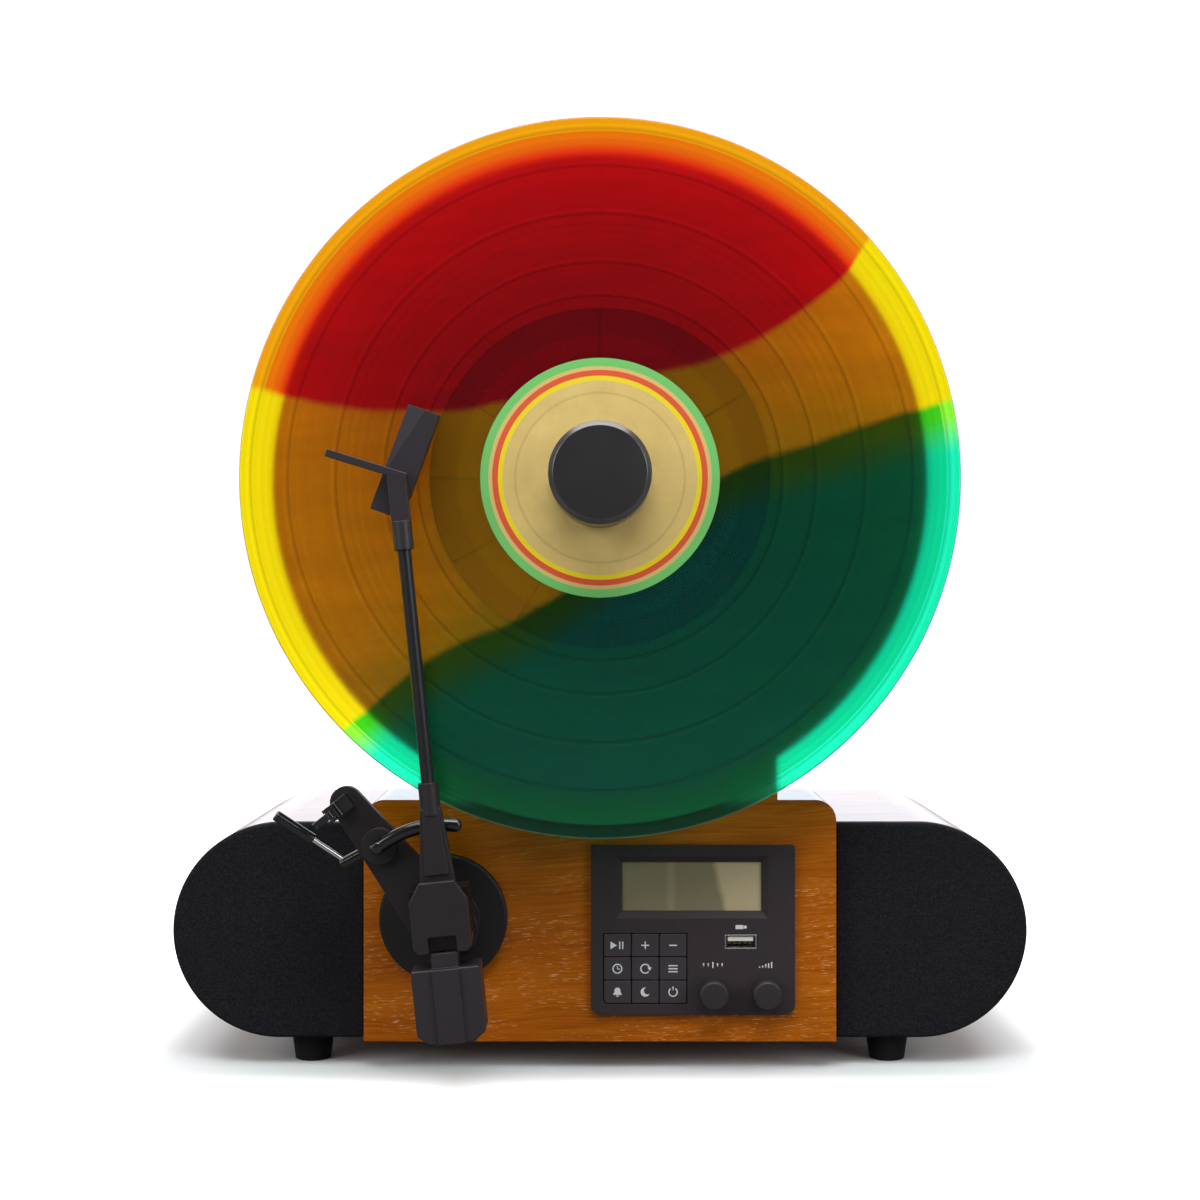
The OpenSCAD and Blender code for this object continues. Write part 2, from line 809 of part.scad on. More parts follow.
module screws() {
    color(steel) {
        for (p = panel_screws)
            translate([p.x, y_panel_back, cabinet_z + p.y]) screw();
        for (p = cover_posts) translate([p.x, y_tower_back, p.y]) screw();
        for (side = [-1, 1], p = driver_screws)
            translate([side * driver_x + p.x, y_shell - flange_t, cabinet_z + p.y])
                rotate([0, 0, 180]) screw();
    }
}

// Control panel

// The control panel's outline: round lower corners and nearly square upper ones
module fascia_outline() {
    w = fascia_w;
    h = fascia_h;
    translate([-w / 2, fascia_r - h / 2]) square([w, h - fascia_r - fascia_top_r]);
    translate([fascia_r - w / 2, -h / 2]) square([w - 2 * fascia_r, h / 2]);
    translate([fascia_top_r - w / 2, 0]) square([w - 2 * fascia_top_r, h / 2]);
    for (side = [-1, 1]) {
        translate([side * (w / 2 - fascia_r), fascia_r - h / 2]) circle(fascia_r);
        translate([side * (w / 2 - fascia_top_r), h / 2 - fascia_top_r]) circle(fascia_top_r);
    }
}

// The opening for the keys: its lower left corner is round
module grid_outline() {
    translate([-grid.x / 2, grid_r - grid.y / 2]) square([grid.x, grid.y - grid_r]);
    translate([grid_r - grid.x / 2, -grid.y / 2]) square([grid.x - grid_r, grid.y]);
    translate([grid_r - grid.x / 2, grid_r - grid.y / 2]) circle(grid_r);
}

// The display's bevel: a frustum as two crossed prisms
module window_funnel() {
    depth = fascia_proud - window_land;
    wide = [window_w, window_h] / 2;
    top = depth + cut;
    lean = window_bevel * top / depth;
    translate([0, 0, window_land]) intersection() {
        rotate([90, 0, 0]) linear_extrude(2 * window_h, center = true)
            polygon([[-wide.x, 0], [wide.x, 0], [wide.x + lean, top], [-wide.x - lean, top]]);
        rotate([90, 0, 90]) linear_extrude(2 * window_w, center = true)
            polygon([[-wide.y, 0], [wide.y, 0], [wide.y + lean, top], [-wide.y - lean, top]]);
    }
}

module control_fascia() {
    frame = spigot - 2 * [spigot_wall, spigot_wall];
    color(black) on_board(fascia_at) difference() {
        union() {
            linear_extrude(fascia_proud) fascia_outline();
            translate([0, 0, -spigot_l]) linear_extrude(spigot_l + fascia_proud / 2)
                difference() {
                    square(spigot, center = true);
                    square(frame, center = true);
                }
            translate([grid_at.x, grid_at.y, guide_top - guide_t])
                linear_extrude(fascia_proud / 2 - guide_top + guide_t)
                    square(grid + 2 * [guide_wall, guide_wall], center = true);
            for (p = guide_posts) translate([p.x, p.y, circuit_front])
                cylinder(d = guide_post_d, h = guide_top - circuit_front - cut);
            for (p = side_posts) translate([p.x, p.y, circuit_front])
                cylinder(d = post_d, h = -circuit_front + fascia_proud / 2);
        }
        translate([grid_at.x, grid_at.y, guide_top])
            linear_extrude(fascia_proud - guide_top + cut) grid_outline();
        for (col = [0:2], row = [0:2])
            translate(concat(key_at(col, row), guide_top - guide_t - cut))
                linear_extrude(guide_t + 2 * cut)
                    square(stem + 2 * stem_gap, center = true);
        translate(window_at) {
            window_funnel();
            translate([0, 0, -cut]) linear_extrude(window_land + 2 * cut)
                square([window_w, window_h], center = true);
        }
        translate([usb_at.x, usb_at.y, -cut]) linear_extrude(fascia_proud + 2 * cut)
            square([usb_w, usb_h] + 2 * [panel_gap, panel_gap], center = true);
        for (p = [tune_at, volume_at]) translate([p.x, p.y, -cut])
            cylinder(d = bush_d + 2 * panel_gap, h = fascia_proud + 2 * cut);
    }
}

module display_window() {
    color("darkolivegreen") on_board(fascia_at)
        translate([window_at.x, window_at.y, -window_t])
            linear_extrude(window_t)
                square([window_w, window_h] + 2 * [window_edge, window_edge], center = true);
}

module display_module() {
    color("darkgreen") on_board(fascia_at)
        translate([window_at.x, window_at.y, -window_t - display_t])
            linear_extrude(display_t)
                square([window_w, window_h] + 2 * [display_edge, display_edge], center = true);
}

// The board behind the keys, with a switch for each
module key_circuit() {
    plunger = stem_back - key_travel - switch_gap;
    body = plunger - 0.6;
    color("darkgreen") on_board(fascia_at) {
        translate([-key_board_w / 2, key_board_low, circuit_front - circuit_t])
            cube([key_board_w, key_board_high - key_board_low, circuit_t]);
        for (col = [0:2], row = [0:2]) translate(concat(key_at(col, row), 0)) {
            box([-switch_w / 2, -switch_w / 2, circuit_front - circuit_t / 2],
                [switch_w / 2, switch_w / 2, body]);
            translate([0, 0, body - cut]) cylinder(d = 3.4, h = plunger - body + cut);
        }
    }
}

// A control body with a threaded bush around its shaft
module control_body(at) {
    on_board(fascia_at) translate([at.x, at.y, 0]) difference() {
        union() {
            translate([0, 0, circuit_front]) children();
            translate([0, 0, circuit_front + cut])
                cylinder(d = bush_d, h = fascia_proud + 0.3 - circuit_front - cut);
        }
        translate([0, 0, shaft_back - face_gap])
            cylinder(d = knob_shaft_d + 2 * run_gap, h = knob_base - shaft_back + face_gap);
    }
}

// A square encoder behind the tuning knob and a round control behind the volume knob
module rotary_controls() {
    color(steel) control_body(tune_at)
        translate([-control_w / 2, control_shift - control_w / 2, 0])
            cube([control_w, control_w, control_depth]);
    color(steel) control_body(volume_at)
        translate([0, control_shift, 0]) cylinder(d = control_w, h = control_depth);
}

module usb_socket() {
    shell = [usb_w, usb_h];
    mouth = shell - 2 * [usb_wall, usb_wall];
    tongue_y = mouth.y / 2 - tongue.y / 2 - 0.5;
    color(steel) on_board(fascia_at + usb_at) {
        difference() {
            translate([0, 0, circuit_front]) linear_extrude(fascia_proud - circuit_front)
                square(shell, center = true);
            translate([0, 0, circuit_front + usb_floor])
                linear_extrude(fascia_proud - circuit_front) square(mouth, center = true);
        }
        translate([0, tongue_y, circuit_front + usb_floor / 2])
            linear_extrude(fascia_proud - circuit_front - usb_floor / 2 - 0.8)
                square(tongue, center = true);
    }
}

// A knob on its own shaft, with a pointer notch in its rim
module knob(at) {
    ease = 0.8;
    color(black) on_board(fascia_at) translate([at.x, at.y, 0]) difference() {
        union() {
            translate([0, 0, knob_base]) rotate_extrude() polygon([
                [0, 0], [knob_d / 2, 0], [knob_d / 2, knob_h - ease],
                [knob_d / 2 - ease, knob_h], [0, knob_h]
            ]);
            translate([0, 0, shaft_back])
                cylinder(d = knob_shaft_d, h = knob_base - shaft_back + cut);
        }
        rotate(200) translate([knob_d / 2, 0, knob_base + knob_h])
            cube([1.2, 0.8, 3], center = true);
    }
}

module tune_knob() {
    knob(tune_at);
}

module volume_knob() {
    knob(volume_at);
}

// The middle of a key, from the middle of the control panel
function key_at(col, row) =
    grid_at + [(col - 1) * key_pitch_w, (row - 1) * key_pitch_h];

// One key on its guided stem
module key(col, row) {
    w = key_pitch_w - key_gap;
    h = key_pitch_h - key_gap;
    r = col == 0 && row == 0 ? grid_r - key_gap : 0.3;
    color(black) on_board(fascia_at) translate(concat(key_at(col, row), 0)) {
        translate([0, 0, key_back]) linear_extrude(fascia_proud + key_proud - key_back) {
            translate([-w / 2, r - h / 2]) square([w, h - r]);
            translate([r - w / 2, -h / 2]) square([w - r, h]);
            translate([r - w / 2, r - h / 2]) circle(r);
        }
        translate([0, 0, stem_back]) linear_extrude(key_back - stem_back + cut)
            square(stem, center = true);
    }
}

module play_key() {
    key(0, 2);
}

module preset_up_key() {
    key(1, 2);
}

module preset_down_key() {
    key(2, 2);
}

module time_key() {
    key(0, 1);
}

module repeat_key() {
    key(1, 1);
}

module mode_key() {
    key(2, 1);
}

module alarm_key() {
    key(0, 0);
}

module sleep_key() {
    key(1, 0);
}

module power_key() {
    key(2, 0);
}

// Electronics in the cabinet

// The amplifier's board on the rear panel, with its capacitors and heat sink
module main_circuit() {
    back = y_panel - standoff_l;
    at = cabinet_at + main_board_at;
    color("darkgreen") {
        slab(back - circuit_t, circuit_t, at) square(main_board_size, center = true);
        for (p = capacitors)
            slab(back - circuit_t - capacitor_h, capacitor_h + circuit_t / 2, at + p)
                circle(d = capacitor_d);
        slab(back - circuit_t - sink_base, sink_base + circuit_t / 2, at + sink_at)
            square(sink_size, center = true);
        for (i = [0:sink_fins - 1])
            slab(back - circuit_t - sink_h, sink_h - sink_base / 2, at + sink_at
                + [(i / (sink_fins - 1) - 0.5) * (sink_size.x - fin_t), 0])
                square([fin_t, sink_size.y], center = true);
    }
}

module circuit_boards() {
    key_circuit();
    main_circuit();
}

module power_inlet() {
    at = cabinet_at + inlet_at;
    end = y_panel_back + 1;
    color("black") {
        difference() {
            union() {
                slab(y_panel - inlet_depth - 3, inlet_depth + 3, at)
                    square(inlet_body, center = true);
                slab(y_panel - cut, end - y_panel + cut, at) circle(d = inlet_neck_d);
            }
            slab(end - inlet_depth, inlet_depth + cut, at) circle(d = inlet_bore_d);
        }
        slab(end - inlet_depth - cut, inlet_depth, at) circle(d = inlet_pin_d);
    }
}

module line_out_jacks() {
    at = cabinet_at + jacks_at;
    color(steel) difference() {
        union() {
            slab(y_panel_back, jack_plate_t, at) stadium(jack_plate.x, jack_plate.y);
            for (side = [-1, 1])
                slab(y_panel - 6, rear_panel_t + 6 + jack_l, at + [side * jack_pitch / 2, 0])
                    circle(d = jack_d);
        }
        for (side = [-1, 1])
            slab(y_panel_back - 2, jack_l + 2 + cut, at + [side * jack_pitch / 2, 0])
                circle(d = jack_bore_d);
    }
}

// Drive

module spindle_bearing() {
    flange_front = -board_t;
    color("goldenrod") on_board(spindle_at) difference() {
        union() {
            translate([0, 0, -bearing_l])
                cylinder(d = bearing_d, h = bearing_l + bearing_front);
            translate([0, 0, flange_front - bearing_flange_t])
                cylinder(d = bearing_flange_d, h = bearing_flange_t);
        }
        translate([0, 0, -bearing_l - cut])
            cylinder(d = spindle_d + 2 * run_gap, h = bearing_l + bearing_front + 2 * cut);
    }
}

module drive_motor() {
    color(steel) on_board(motor_at) difference() {
        union() {
            translate([0, 0, -board_t - motor_l]) cylinder(d = motor_d, h = motor_l);
            translate([0, 0, -board_t - motor_l - motor_boss_l])
                cylinder(d = motor_shaft_d + 5, h = motor_boss_l + cut);
        }
        translate([0, 0, -board_t - motor_l - motor_boss_l - cut])
            cylinder(d = motor_shaft_d + 2 * run_gap, h = motor_l + motor_boss_l - 2);
    }
}

module motor_pulley() {
    color("goldenrod") on_board(motor_at) {
        translate([0, 0, pulley_back]) cylinder(d = motor_pulley_d, h = pulley_t);
        translate([0, 0, pulley_back])
            cylinder(d = motor_shaft_d, h = -board_t - 6 - pulley_back);
    }
}

// The two pulleys' outline, wrapped at a distance
module belt_outline(off) {
    hull() {
        circle(d = pulley_d + 2 * off);
        translate(motor_at - spindle_at) circle(d = motor_pulley_d + 2 * off);
    }
}

module drive_belt() {
    middle = pulley_back + pulley_t / 2;
    color("black") on_board(spindle_at)
        translate([0, 0, middle - belt_w / 2]) linear_extrude(belt_w) difference() {
            belt_outline(belt_gap + belt_t);
            belt_outline(belt_gap);
        }
}

// Turntable

module platter() {
    color("black") on_board(spindle_at) rotate_extrude() polygon([
        [spindle_d / 2 + seat_gap, hub_back], [platter_hub_d / 2, hub_back],
        [platter_hub_d / 2, platter_back], [platter_d / 2 - 1, platter_back],
        [platter_d / 2, platter_back + 1], [platter_d / 2, pad_back],
        [spindle_d / 2 + seat_gap, pad_back]
    ]);
}

module platter_pad() {
    hole = record_hole_d / 2;
    ring = platter_d / 3;
    color(black) on_board(spindle_at) difference() {
        translate([0, 0, pad_back]) cylinder(d = platter_d - 0.6, h = pad_t);
        translate([0, 0, pad_back - cut]) cylinder(r = hole, h = pad_t + 2 * cut);
        for (i = [1:pad_grooves]) rotate(i * 360 / pad_grooves)
            translate([ring / 2, -0.5, pad_front - pad_groove])
                cube([platter_d, 1, pad_groove + cut]);
        translate([0, 0, pad_front - pad_groove]) difference() {
            cylinder(r = ring + 1, h = pad_groove + cut);
            translate([0, 0, -cut]) cylinder(r = ring - 1, h = pad_groove + 3 * cut);
        }
    }
}

module spindle() {
    ease = 1.5;
    tip = label_front + spindle_tip_l;
    color(steel) on_board(spindle_at) rotate_extrude() polygon([
        [0, spindle_back], [spindle_d / 2 - 0.5, spindle_back],
        [spindle_d / 2, spindle_back + 0.5], [spindle_d / 2, pad_back],
        [spindle_tip_d / 2, pad_back], [spindle_tip_d / 2, tip - ease],
        [spindle_tip_d / 2 - ease, tip], [0, tip]
    ]);
}

module platter_pulley() {
    bore = spindle_d / 2 + seat_gap;
    hub = spindle_d / 2 + 7;
    web = 2;
    rim = pulley_d / 2 - 4;
    color("whitesmoke") on_board(spindle_at) rotate_extrude() polygon([
        [bore, pulley_back], [hub, pulley_back], [hub, pulley_back + pulley_t / 2 - web / 2],
        [rim, pulley_back + pulley_t / 2 - web / 2], [rim, pulley_back],
        [pulley_d / 2, pulley_back], [pulley_d / 2, pulley_front], [rim, pulley_front],
        [rim, pulley_back + pulley_t / 2 + web / 2],
        [hub, pulley_back + pulley_t / 2 + web / 2],
        [hub, -bearing_l - face_gap], [bore, -bearing_l - face_gap]
    ]);
}

module record() {
    hole = record_hole_d / 2;
    rim = record_d / 2;
    inner = groove_inner_d / 2;
    outer = groove_outer_d / 2;
    ramp = 0.6;
    ease = 0.6;
    back = -record_t;
    sink = groove_sink;
    color("darkred") on_board(spindle_at) translate([0, 0, record_stand])
        rotate_extrude($fn = 180) polygon([
            [hole, back], [inner, back], [inner + ramp, back + sink],
            [outer - ramp, back + sink], [outer, back], [rim - ease, back],
            [rim, back + ease], [rim, -ease], [rim - ease, 0], [outer, 0],
            [outer - ramp, -sink], [inner + ramp, -sink], [inner, 0], [hole, 0]
        ]);
}

module record_labels() {
    color("khaki") on_board(spindle_at)
        for (z = [record_back - label_t, record_stand]) translate([0, 0, z])
            linear_extrude(label_t) difference() {
                circle(d = label_d);
                circle(d = record_hole_d);
            }
}

module record_clamp() {
    r = clamp_d / 2;
    bore = spindle_tip_d / 2 + 2 * run_gap;
    depth = label_front + spindle_tip_l + 2;
    color(black) on_board(spindle_at) rotate_extrude() polygon([
        [bore, label_front], [r, label_front], [r, clamp_front - clamp_chamfer],
        [r - clamp_chamfer, clamp_front], [0, clamp_front], [0, depth], [bore, depth]
    ]);
}

// Tonearm

module tonearm_base() {
    ease = 0.8;
    color(black) on_board(arm_at) difference() {
        union() {
            translate([-arm_base_shift, 0, 0]) {
                cylinder(d = arm_base_d, h = arm_base_t - ease);
                translate([0, 0, arm_base_t - ease])
                    cylinder(d1 = arm_base_d, d2 = arm_base_d - 2 * ease, h = ease);
            }
            cylinder(d = upright_d, h = shoulder);
            cylinder(d = shoulder_d, h = upright_top);
            translate([0, 0, -board_t]) cylinder(d = spigot_d, h = board_t + cut);
        }
        translate([0, 0, -board_t - cut])
            cylinder(d = pivot_d + 2 * run_gap, h = board_t + upright_top + 2 * cut);
    }
}

module pivot_shaft() {
    color(steel) on_board(arm_at) translate([0, 0, -board_t])
        cylinder(d = pivot_d, h = board_t + yoke_base + yoke_base_t);
}

module gimbal_yoke() {
    half = yoke_w / 2;
    side = beam_w / 2 + face_gap;
    color(black) along_arm() difference() {
        union() {
            box([-half, -yoke_rear, yoke_base], [half, yoke_front, yoke_base + yoke_base_t]);
            box([-half, -yoke_rear, yoke_base], [-side, yoke_front, cap_back]);
            box([side, -yoke_rear, yoke_base], [half, yoke_front, cap_back]);
        }
        translate([0, 0, yoke_base - cut])
            cylinder(d = pivot_d + 2 * seat_gap, h = yoke_base_t + 2 * cut);
        translate([0, 0, arm_w]) rotate([0, 90, 0])
            cylinder(d = lift_pin_d + 2 * seat_gap, h = 2 * cap_w, center = true);
    }
}

module gimbal_cap() {
    half = cap_w / 2;
    slot = notch.x / 2;
    color(black) along_arm() translate([0, 0, cap_back]) linear_extrude(cap_t) polygon([
        [-cap_top_w / 2, cap_front], [-half, cap_front - cap_slope],
        [-half, cap_corner - cap_rear], [cap_corner - half, -cap_rear],
        [-slot, -cap_rear], [-slot, notch.y - cap_rear], [slot, notch.y - cap_rear],
        [slot, -cap_rear], [half - cap_corner, -cap_rear], [half, cap_corner - cap_rear],
        [half, cap_front - cap_slope], [cap_top_w / 2, cap_front]
    ]);
}

module lift_pin() {
    color(steel) along_arm() translate([0, 0, arm_w]) rotate([0, 90, 0])
        cylinder(d = lift_pin_d, h = yoke_w, center = true);
}

module arm_housing() {
    half = beam_w / 2;
    tip = collar_d / 2;
    taper_back = cap_front + strip_margin;
    color(black) along_arm() difference() {
        union() {
            translate([0, 0, beam_low]) linear_extrude(beam_t) polygon([
                [-half, -beam_rear], [half, -beam_rear], [half, taper_back],
                [tip, housing_reach], [-tip, housing_reach], [-half, taper_back]
            ]);
            translate([0, 0, arm_w]) linear_extrude(beam_t / 2 + strip_h) polygon([
                [strip_margin - half, taper_back], [half - strip_margin, taper_back],
                [tip - strip_margin / 2, housing_reach - cut],
                [strip_margin / 2 - tip, housing_reach - cut]
            ]);
            bar_along(collar_back, housing_reach + collar_l, collar_d);
        }
        bar_along(tube_back, housing_reach + collar_l + cut, tube_d + 2 * seat_gap);
        translate([0, 0, arm_w]) rotate([0, 90, 0])
            cylinder(d = lift_pin_d + 2 * run_gap, h = 2 * cap_w, center = true);
    }
}

module arm_tube() {
    color("black") along_arm() difference() {
        bar_along(tube_back, tube_front, tube_d);
        bar_along(tube_back - cut, tube_front + cut, tube_d - 2 * tube_wall);
    }
}

module headshell() {
    color(black) along_arm() difference() {
        union() {
            bar_along(tube_reach, neck_back, head_collar_d);
            box([-head_neck_w / 2, neck_back - cut, neck_low],
                [head_neck_w / 2, neck_front, neck_low + neck_t]);
            translate([0, neck_front - finger_w, neck_low + neck_t - finger_t])
                rotate(finger_angle)
                    box([0, -finger_w / 2, 0], [finger_l, finger_w / 2, finger_t]);
        }
        bar_along(tube_reach - cut, tube_front, tube_d + 2 * seat_gap);
    }
}

module cartridge() {
    color(black) along_cartridge() {
        box([-cartridge_w / 2, -cartridge_l / 2, cartridge_low],
            [cartridge_w / 2, cartridge_l / 2, neck_low]);
        box([-carrier_w / 2, carrier_back, carrier_low],
            [carrier_w / 2, carrier_front, cartridge_low + cut]);
    }
}

module stylus() {
    half = stylus_holder / 2;
    color("firebrick") along_cartridge() translate([0, stylus_at, 0]) {
        box([-half.x, -half.y, stylus_seat], [half.x, half.y - 1, carrier_low]);
        translate([0, 0, record_stand + stylus_gap])
            cylinder(d1 = stylus_tip_d, d2 = stylus_root_d,
                h = stylus_seat - record_stand - stylus_gap + 0.4);
    }
}

module counterweight() {
    half = weight_w / 2;
    top = -beam_rear - stem_l;
    low = -weight_rear;
    color(black) along_arm() {
        translate([0, 0, weight_low]) linear_extrude(weight_t) polygon([
            [-half, top], [half, top], [half, low + weight_chamfer.y],
            [half - weight_chamfer.x, low], [weight_chamfer.x - half, low],
            [-half, low + weight_chamfer.y]
        ]);
        box([-stem_w / 2, low, arm_w], [stem_w / 2, top + cut, weight_low + weight_t + weight_strip]);
        box([-stem_w / 2, top - cut, beam_low], [stem_w / 2, -beam_rear, cap_back + cap_t / 2]);
    }
}

// Arm rest and lift

// The bar of the arm rest: wide at the pivot, round at its end
module rest_outline() {
    wide = rest_wide / 2;
    narrow = rest_narrow / 2;
    circle(wide);
    translate([0, rest_reach]) circle(narrow);
    polygon([[-wide, 0], [wide, 0], [narrow, rest_reach], [-narrow, rest_reach]]);
}

module arm_rest_bracket() {
    shelf_top = arm_w - tube_d / 2 - clip_air;
    back = rest_reach - clip_l / 2;
    front = rest_reach + clip_l / 2;
    wall_x = clip_wall_x + clip_wall;
    color(black) along_rest() difference() {
        union() {
            translate([0, 0, shoulder]) linear_extrude(rest_t) rest_outline();
            translate([0, lift_r, boss_low]) cylinder(d = boss_d, h = boss_top - boss_low);
            box([clip_wall_x, back, shoulder + cut], [shelf_w / 2, front, shelf_top]);
            box([clip_wall_x, back, shoulder + cut], [wall_x, front, clip_wall_top]);
            for (y = [back, front - ear_t])
                box([clip_wall_x, y, clip_wall_top - cut],
                    [wall_x, y + ear_t, clip_wall_top + ear_h]);
            translate([latch_x, back + ear_t / 2, latch_w]) rotate([-90, 0, 0])
                cylinder(d = latch_pin_d, h = clip_l - ear_t);
        }
        translate([0, 0, shoulder - cut])
            cylinder(d = shoulder_d + 2 * seat_gap, h = rest_t + 2 * cut);
        translate([0, lift_r, plunger_low - cut])
            cylinder(d = plunger_d + 2 * run_gap, h = boss_top - plunger_low + 2 * cut);
        translate([0, lift_r, lever_w]) rotate([0, 90, lever_shaft_angle])
            translate([0, 0, -shaft_in - face_gap])
                cylinder(d = lever_shaft_d + 2 * run_gap, h = shaft_in + boss_d);
    }
}

module lift_arc() {
    color("black") along_rest() {
        translate([0, lift_r, plunger_low])
            cylinder(d = plunger_d, h = plunger_high - plunger_low);
        translate([0, 0, lift_w]) rotate(90 - lift_sweep) {
            rotate_extrude(angle = lift_sweep) translate([lift_r, 0]) circle(d = lift_rod_d);
            translate([lift_r, 0, 0]) sphere(d = bead_d);
        }
    }
}

// Carries the rest's frame to the outer end of the cue lever's shaft, along its rod
module along_lever_rod() {
    reach = lever_shaft_l - lever_shaft_d / 2;
    along_rest()
        translate([reach * cos(lever_shaft_angle), lift_r + reach * sin(lever_shaft_angle), lever_w])
            rotate([0, 90 - lever_rod_rise, lever_rod_angle]) children();
}

module cue_lever() {
    bore = lever_rod_d + 2 * seat_gap;
    color("black") {
        difference() {
            along_rest() translate([0, lift_r, lever_w]) rotate([0, 90, lever_shaft_angle])
                translate([0, 0, -shaft_in]) cylinder(d = lever_shaft_d, h = shaft_in + lever_shaft_l);
            along_lever_rod() translate([0, 0, -lever_shaft_d])
                cylinder(d = bore, h = 2 * lever_shaft_d);
        }
        along_lever_rod() translate([0, 0, lever_rod_l - lever_grip_l]) difference() {
            cylinder(d = lever_grip_d, h = lever_grip_l);
            translate([0, 0, -cut]) cylinder(d = bore, h = lever_grip_l);
        }
    }
}

module cue_rod() {
    back = lever_shaft_d / 2 - 0.5;
    color(steel) along_lever_rod() translate([0, 0, -back])
        cylinder(d = lever_rod_d, h = lever_rod_l + back - 1.5);
}

module rest_latch() {
    back = rest_reach - clip_l / 2 + ear_t + latch_gap;
    wide = clip_l - 2 * (ear_t + latch_gap);
    color(black) along_rest() translate([latch_x, back, latch_w]) rotate([0, -latch_open, 0])
        difference() {
            union() {
                rotate([-90, 0, 0]) cylinder(d = latch_barrel_d, h = wide);
                box([-latch_t / 2, 0, 0], [latch_t / 2, wide, latch_l]);
            }
            translate([0, -cut, 0]) rotate([-90, 0, 0])
                cylinder(d = latch_pin_d + 2 * run_gap, h = wide + 2 * cut);
        }
}

cabinet_shell();
speaker_baffles();
rear_cleats();
rear_panel();
left_grille();
right_grille();
driver_frames();
driver_cones();
driver_magnets();
feet();
tower_shell();
tower_board();
tower_back_cover();
screws();
control_fascia();
display_window();
display_module();
circuit_boards();
rotary_controls();
usb_socket();
power_inlet();
line_out_jacks();
spindle_bearing();
drive_motor();
drive_belt();
tonearm_base();
arm_rest_bracket();
platter();
platter_pad();
spindle();
platter_pulley();
record();
record_labels();
record_clamp();
motor_pulley();
pivot_shaft();
gimbal_yoke();
gimbal_cap();
lift_pin();
arm_housing();
arm_tube();
headshell();
cartridge();
stylus();
counterweight();
cue_lever();
cue_rod();
lift_arc();
rest_latch();
tune_knob();
volume_knob();
play_key();
preset_up_key();
preset_down_key();
time_key();
repeat_key();
mode_key();
alarm_key();
sleep_key();
power_key();
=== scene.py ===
"""Looks of the vertical record player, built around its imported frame.

Sizes are in millimetres until a mesh is made. Meshes are in metres, in the frame's own axes:
X to the right, Y from the front to the back, Z up.
"""

from __future__ import annotations

import json
import logging
import math
from dataclasses import dataclass
from enum import Enum
from functools import cache
from typing import Any, Mapping, Sequence

import bpy
import numpy as np
from mathutils import Matrix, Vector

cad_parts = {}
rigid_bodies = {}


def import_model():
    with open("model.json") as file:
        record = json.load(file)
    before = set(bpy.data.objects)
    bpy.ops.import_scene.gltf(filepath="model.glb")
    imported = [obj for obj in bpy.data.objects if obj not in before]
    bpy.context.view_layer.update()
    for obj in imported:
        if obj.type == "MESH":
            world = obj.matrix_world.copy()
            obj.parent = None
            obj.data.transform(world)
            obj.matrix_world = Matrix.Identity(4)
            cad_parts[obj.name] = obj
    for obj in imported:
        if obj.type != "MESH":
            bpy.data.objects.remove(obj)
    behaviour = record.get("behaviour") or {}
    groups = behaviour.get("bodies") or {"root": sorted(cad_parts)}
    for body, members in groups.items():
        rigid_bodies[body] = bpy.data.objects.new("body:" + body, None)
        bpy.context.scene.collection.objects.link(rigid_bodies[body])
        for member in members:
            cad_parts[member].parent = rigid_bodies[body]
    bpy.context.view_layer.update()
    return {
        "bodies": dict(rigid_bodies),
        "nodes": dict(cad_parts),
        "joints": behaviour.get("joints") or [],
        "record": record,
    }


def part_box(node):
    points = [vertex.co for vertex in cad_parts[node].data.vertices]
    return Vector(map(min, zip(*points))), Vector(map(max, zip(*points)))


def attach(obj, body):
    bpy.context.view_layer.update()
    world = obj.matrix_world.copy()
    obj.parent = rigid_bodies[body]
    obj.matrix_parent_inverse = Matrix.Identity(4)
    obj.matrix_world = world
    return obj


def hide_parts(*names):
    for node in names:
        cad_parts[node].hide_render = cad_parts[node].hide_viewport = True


LOG = logging.getLogger("record_player")
MM = 0.001
FULL_TURN = 2.0 * math.pi
QUARTER_TURN = 0.5 * math.pi
STRAIGHT = 0.99999
TOLERANCE = 0.01
FILLET_POINTS = 5
EASE_POINTS = 4
ARC_POINTS = 40
INNER_POINTS = 32
BALL_START = 0.1
BALL_POINTS = 8
ROD_POINTS = 24

Array = np.ndarray
Pair = tuple[float, float]
Triple = tuple[float, float, float]
Colour = Triple
Line = tuple[Pair, ...]
Ease = tuple[float | Sequence[float], float]
Socket = bpy.types.NodeSocket
Node = bpy.types.Node
Tree = bpy.types.NodeTree

SPINDLE: Triple = (0.0, 0.0, 255.0)
ALONG: Triple = (0.0, 1.0, 0.0)


# Shapes


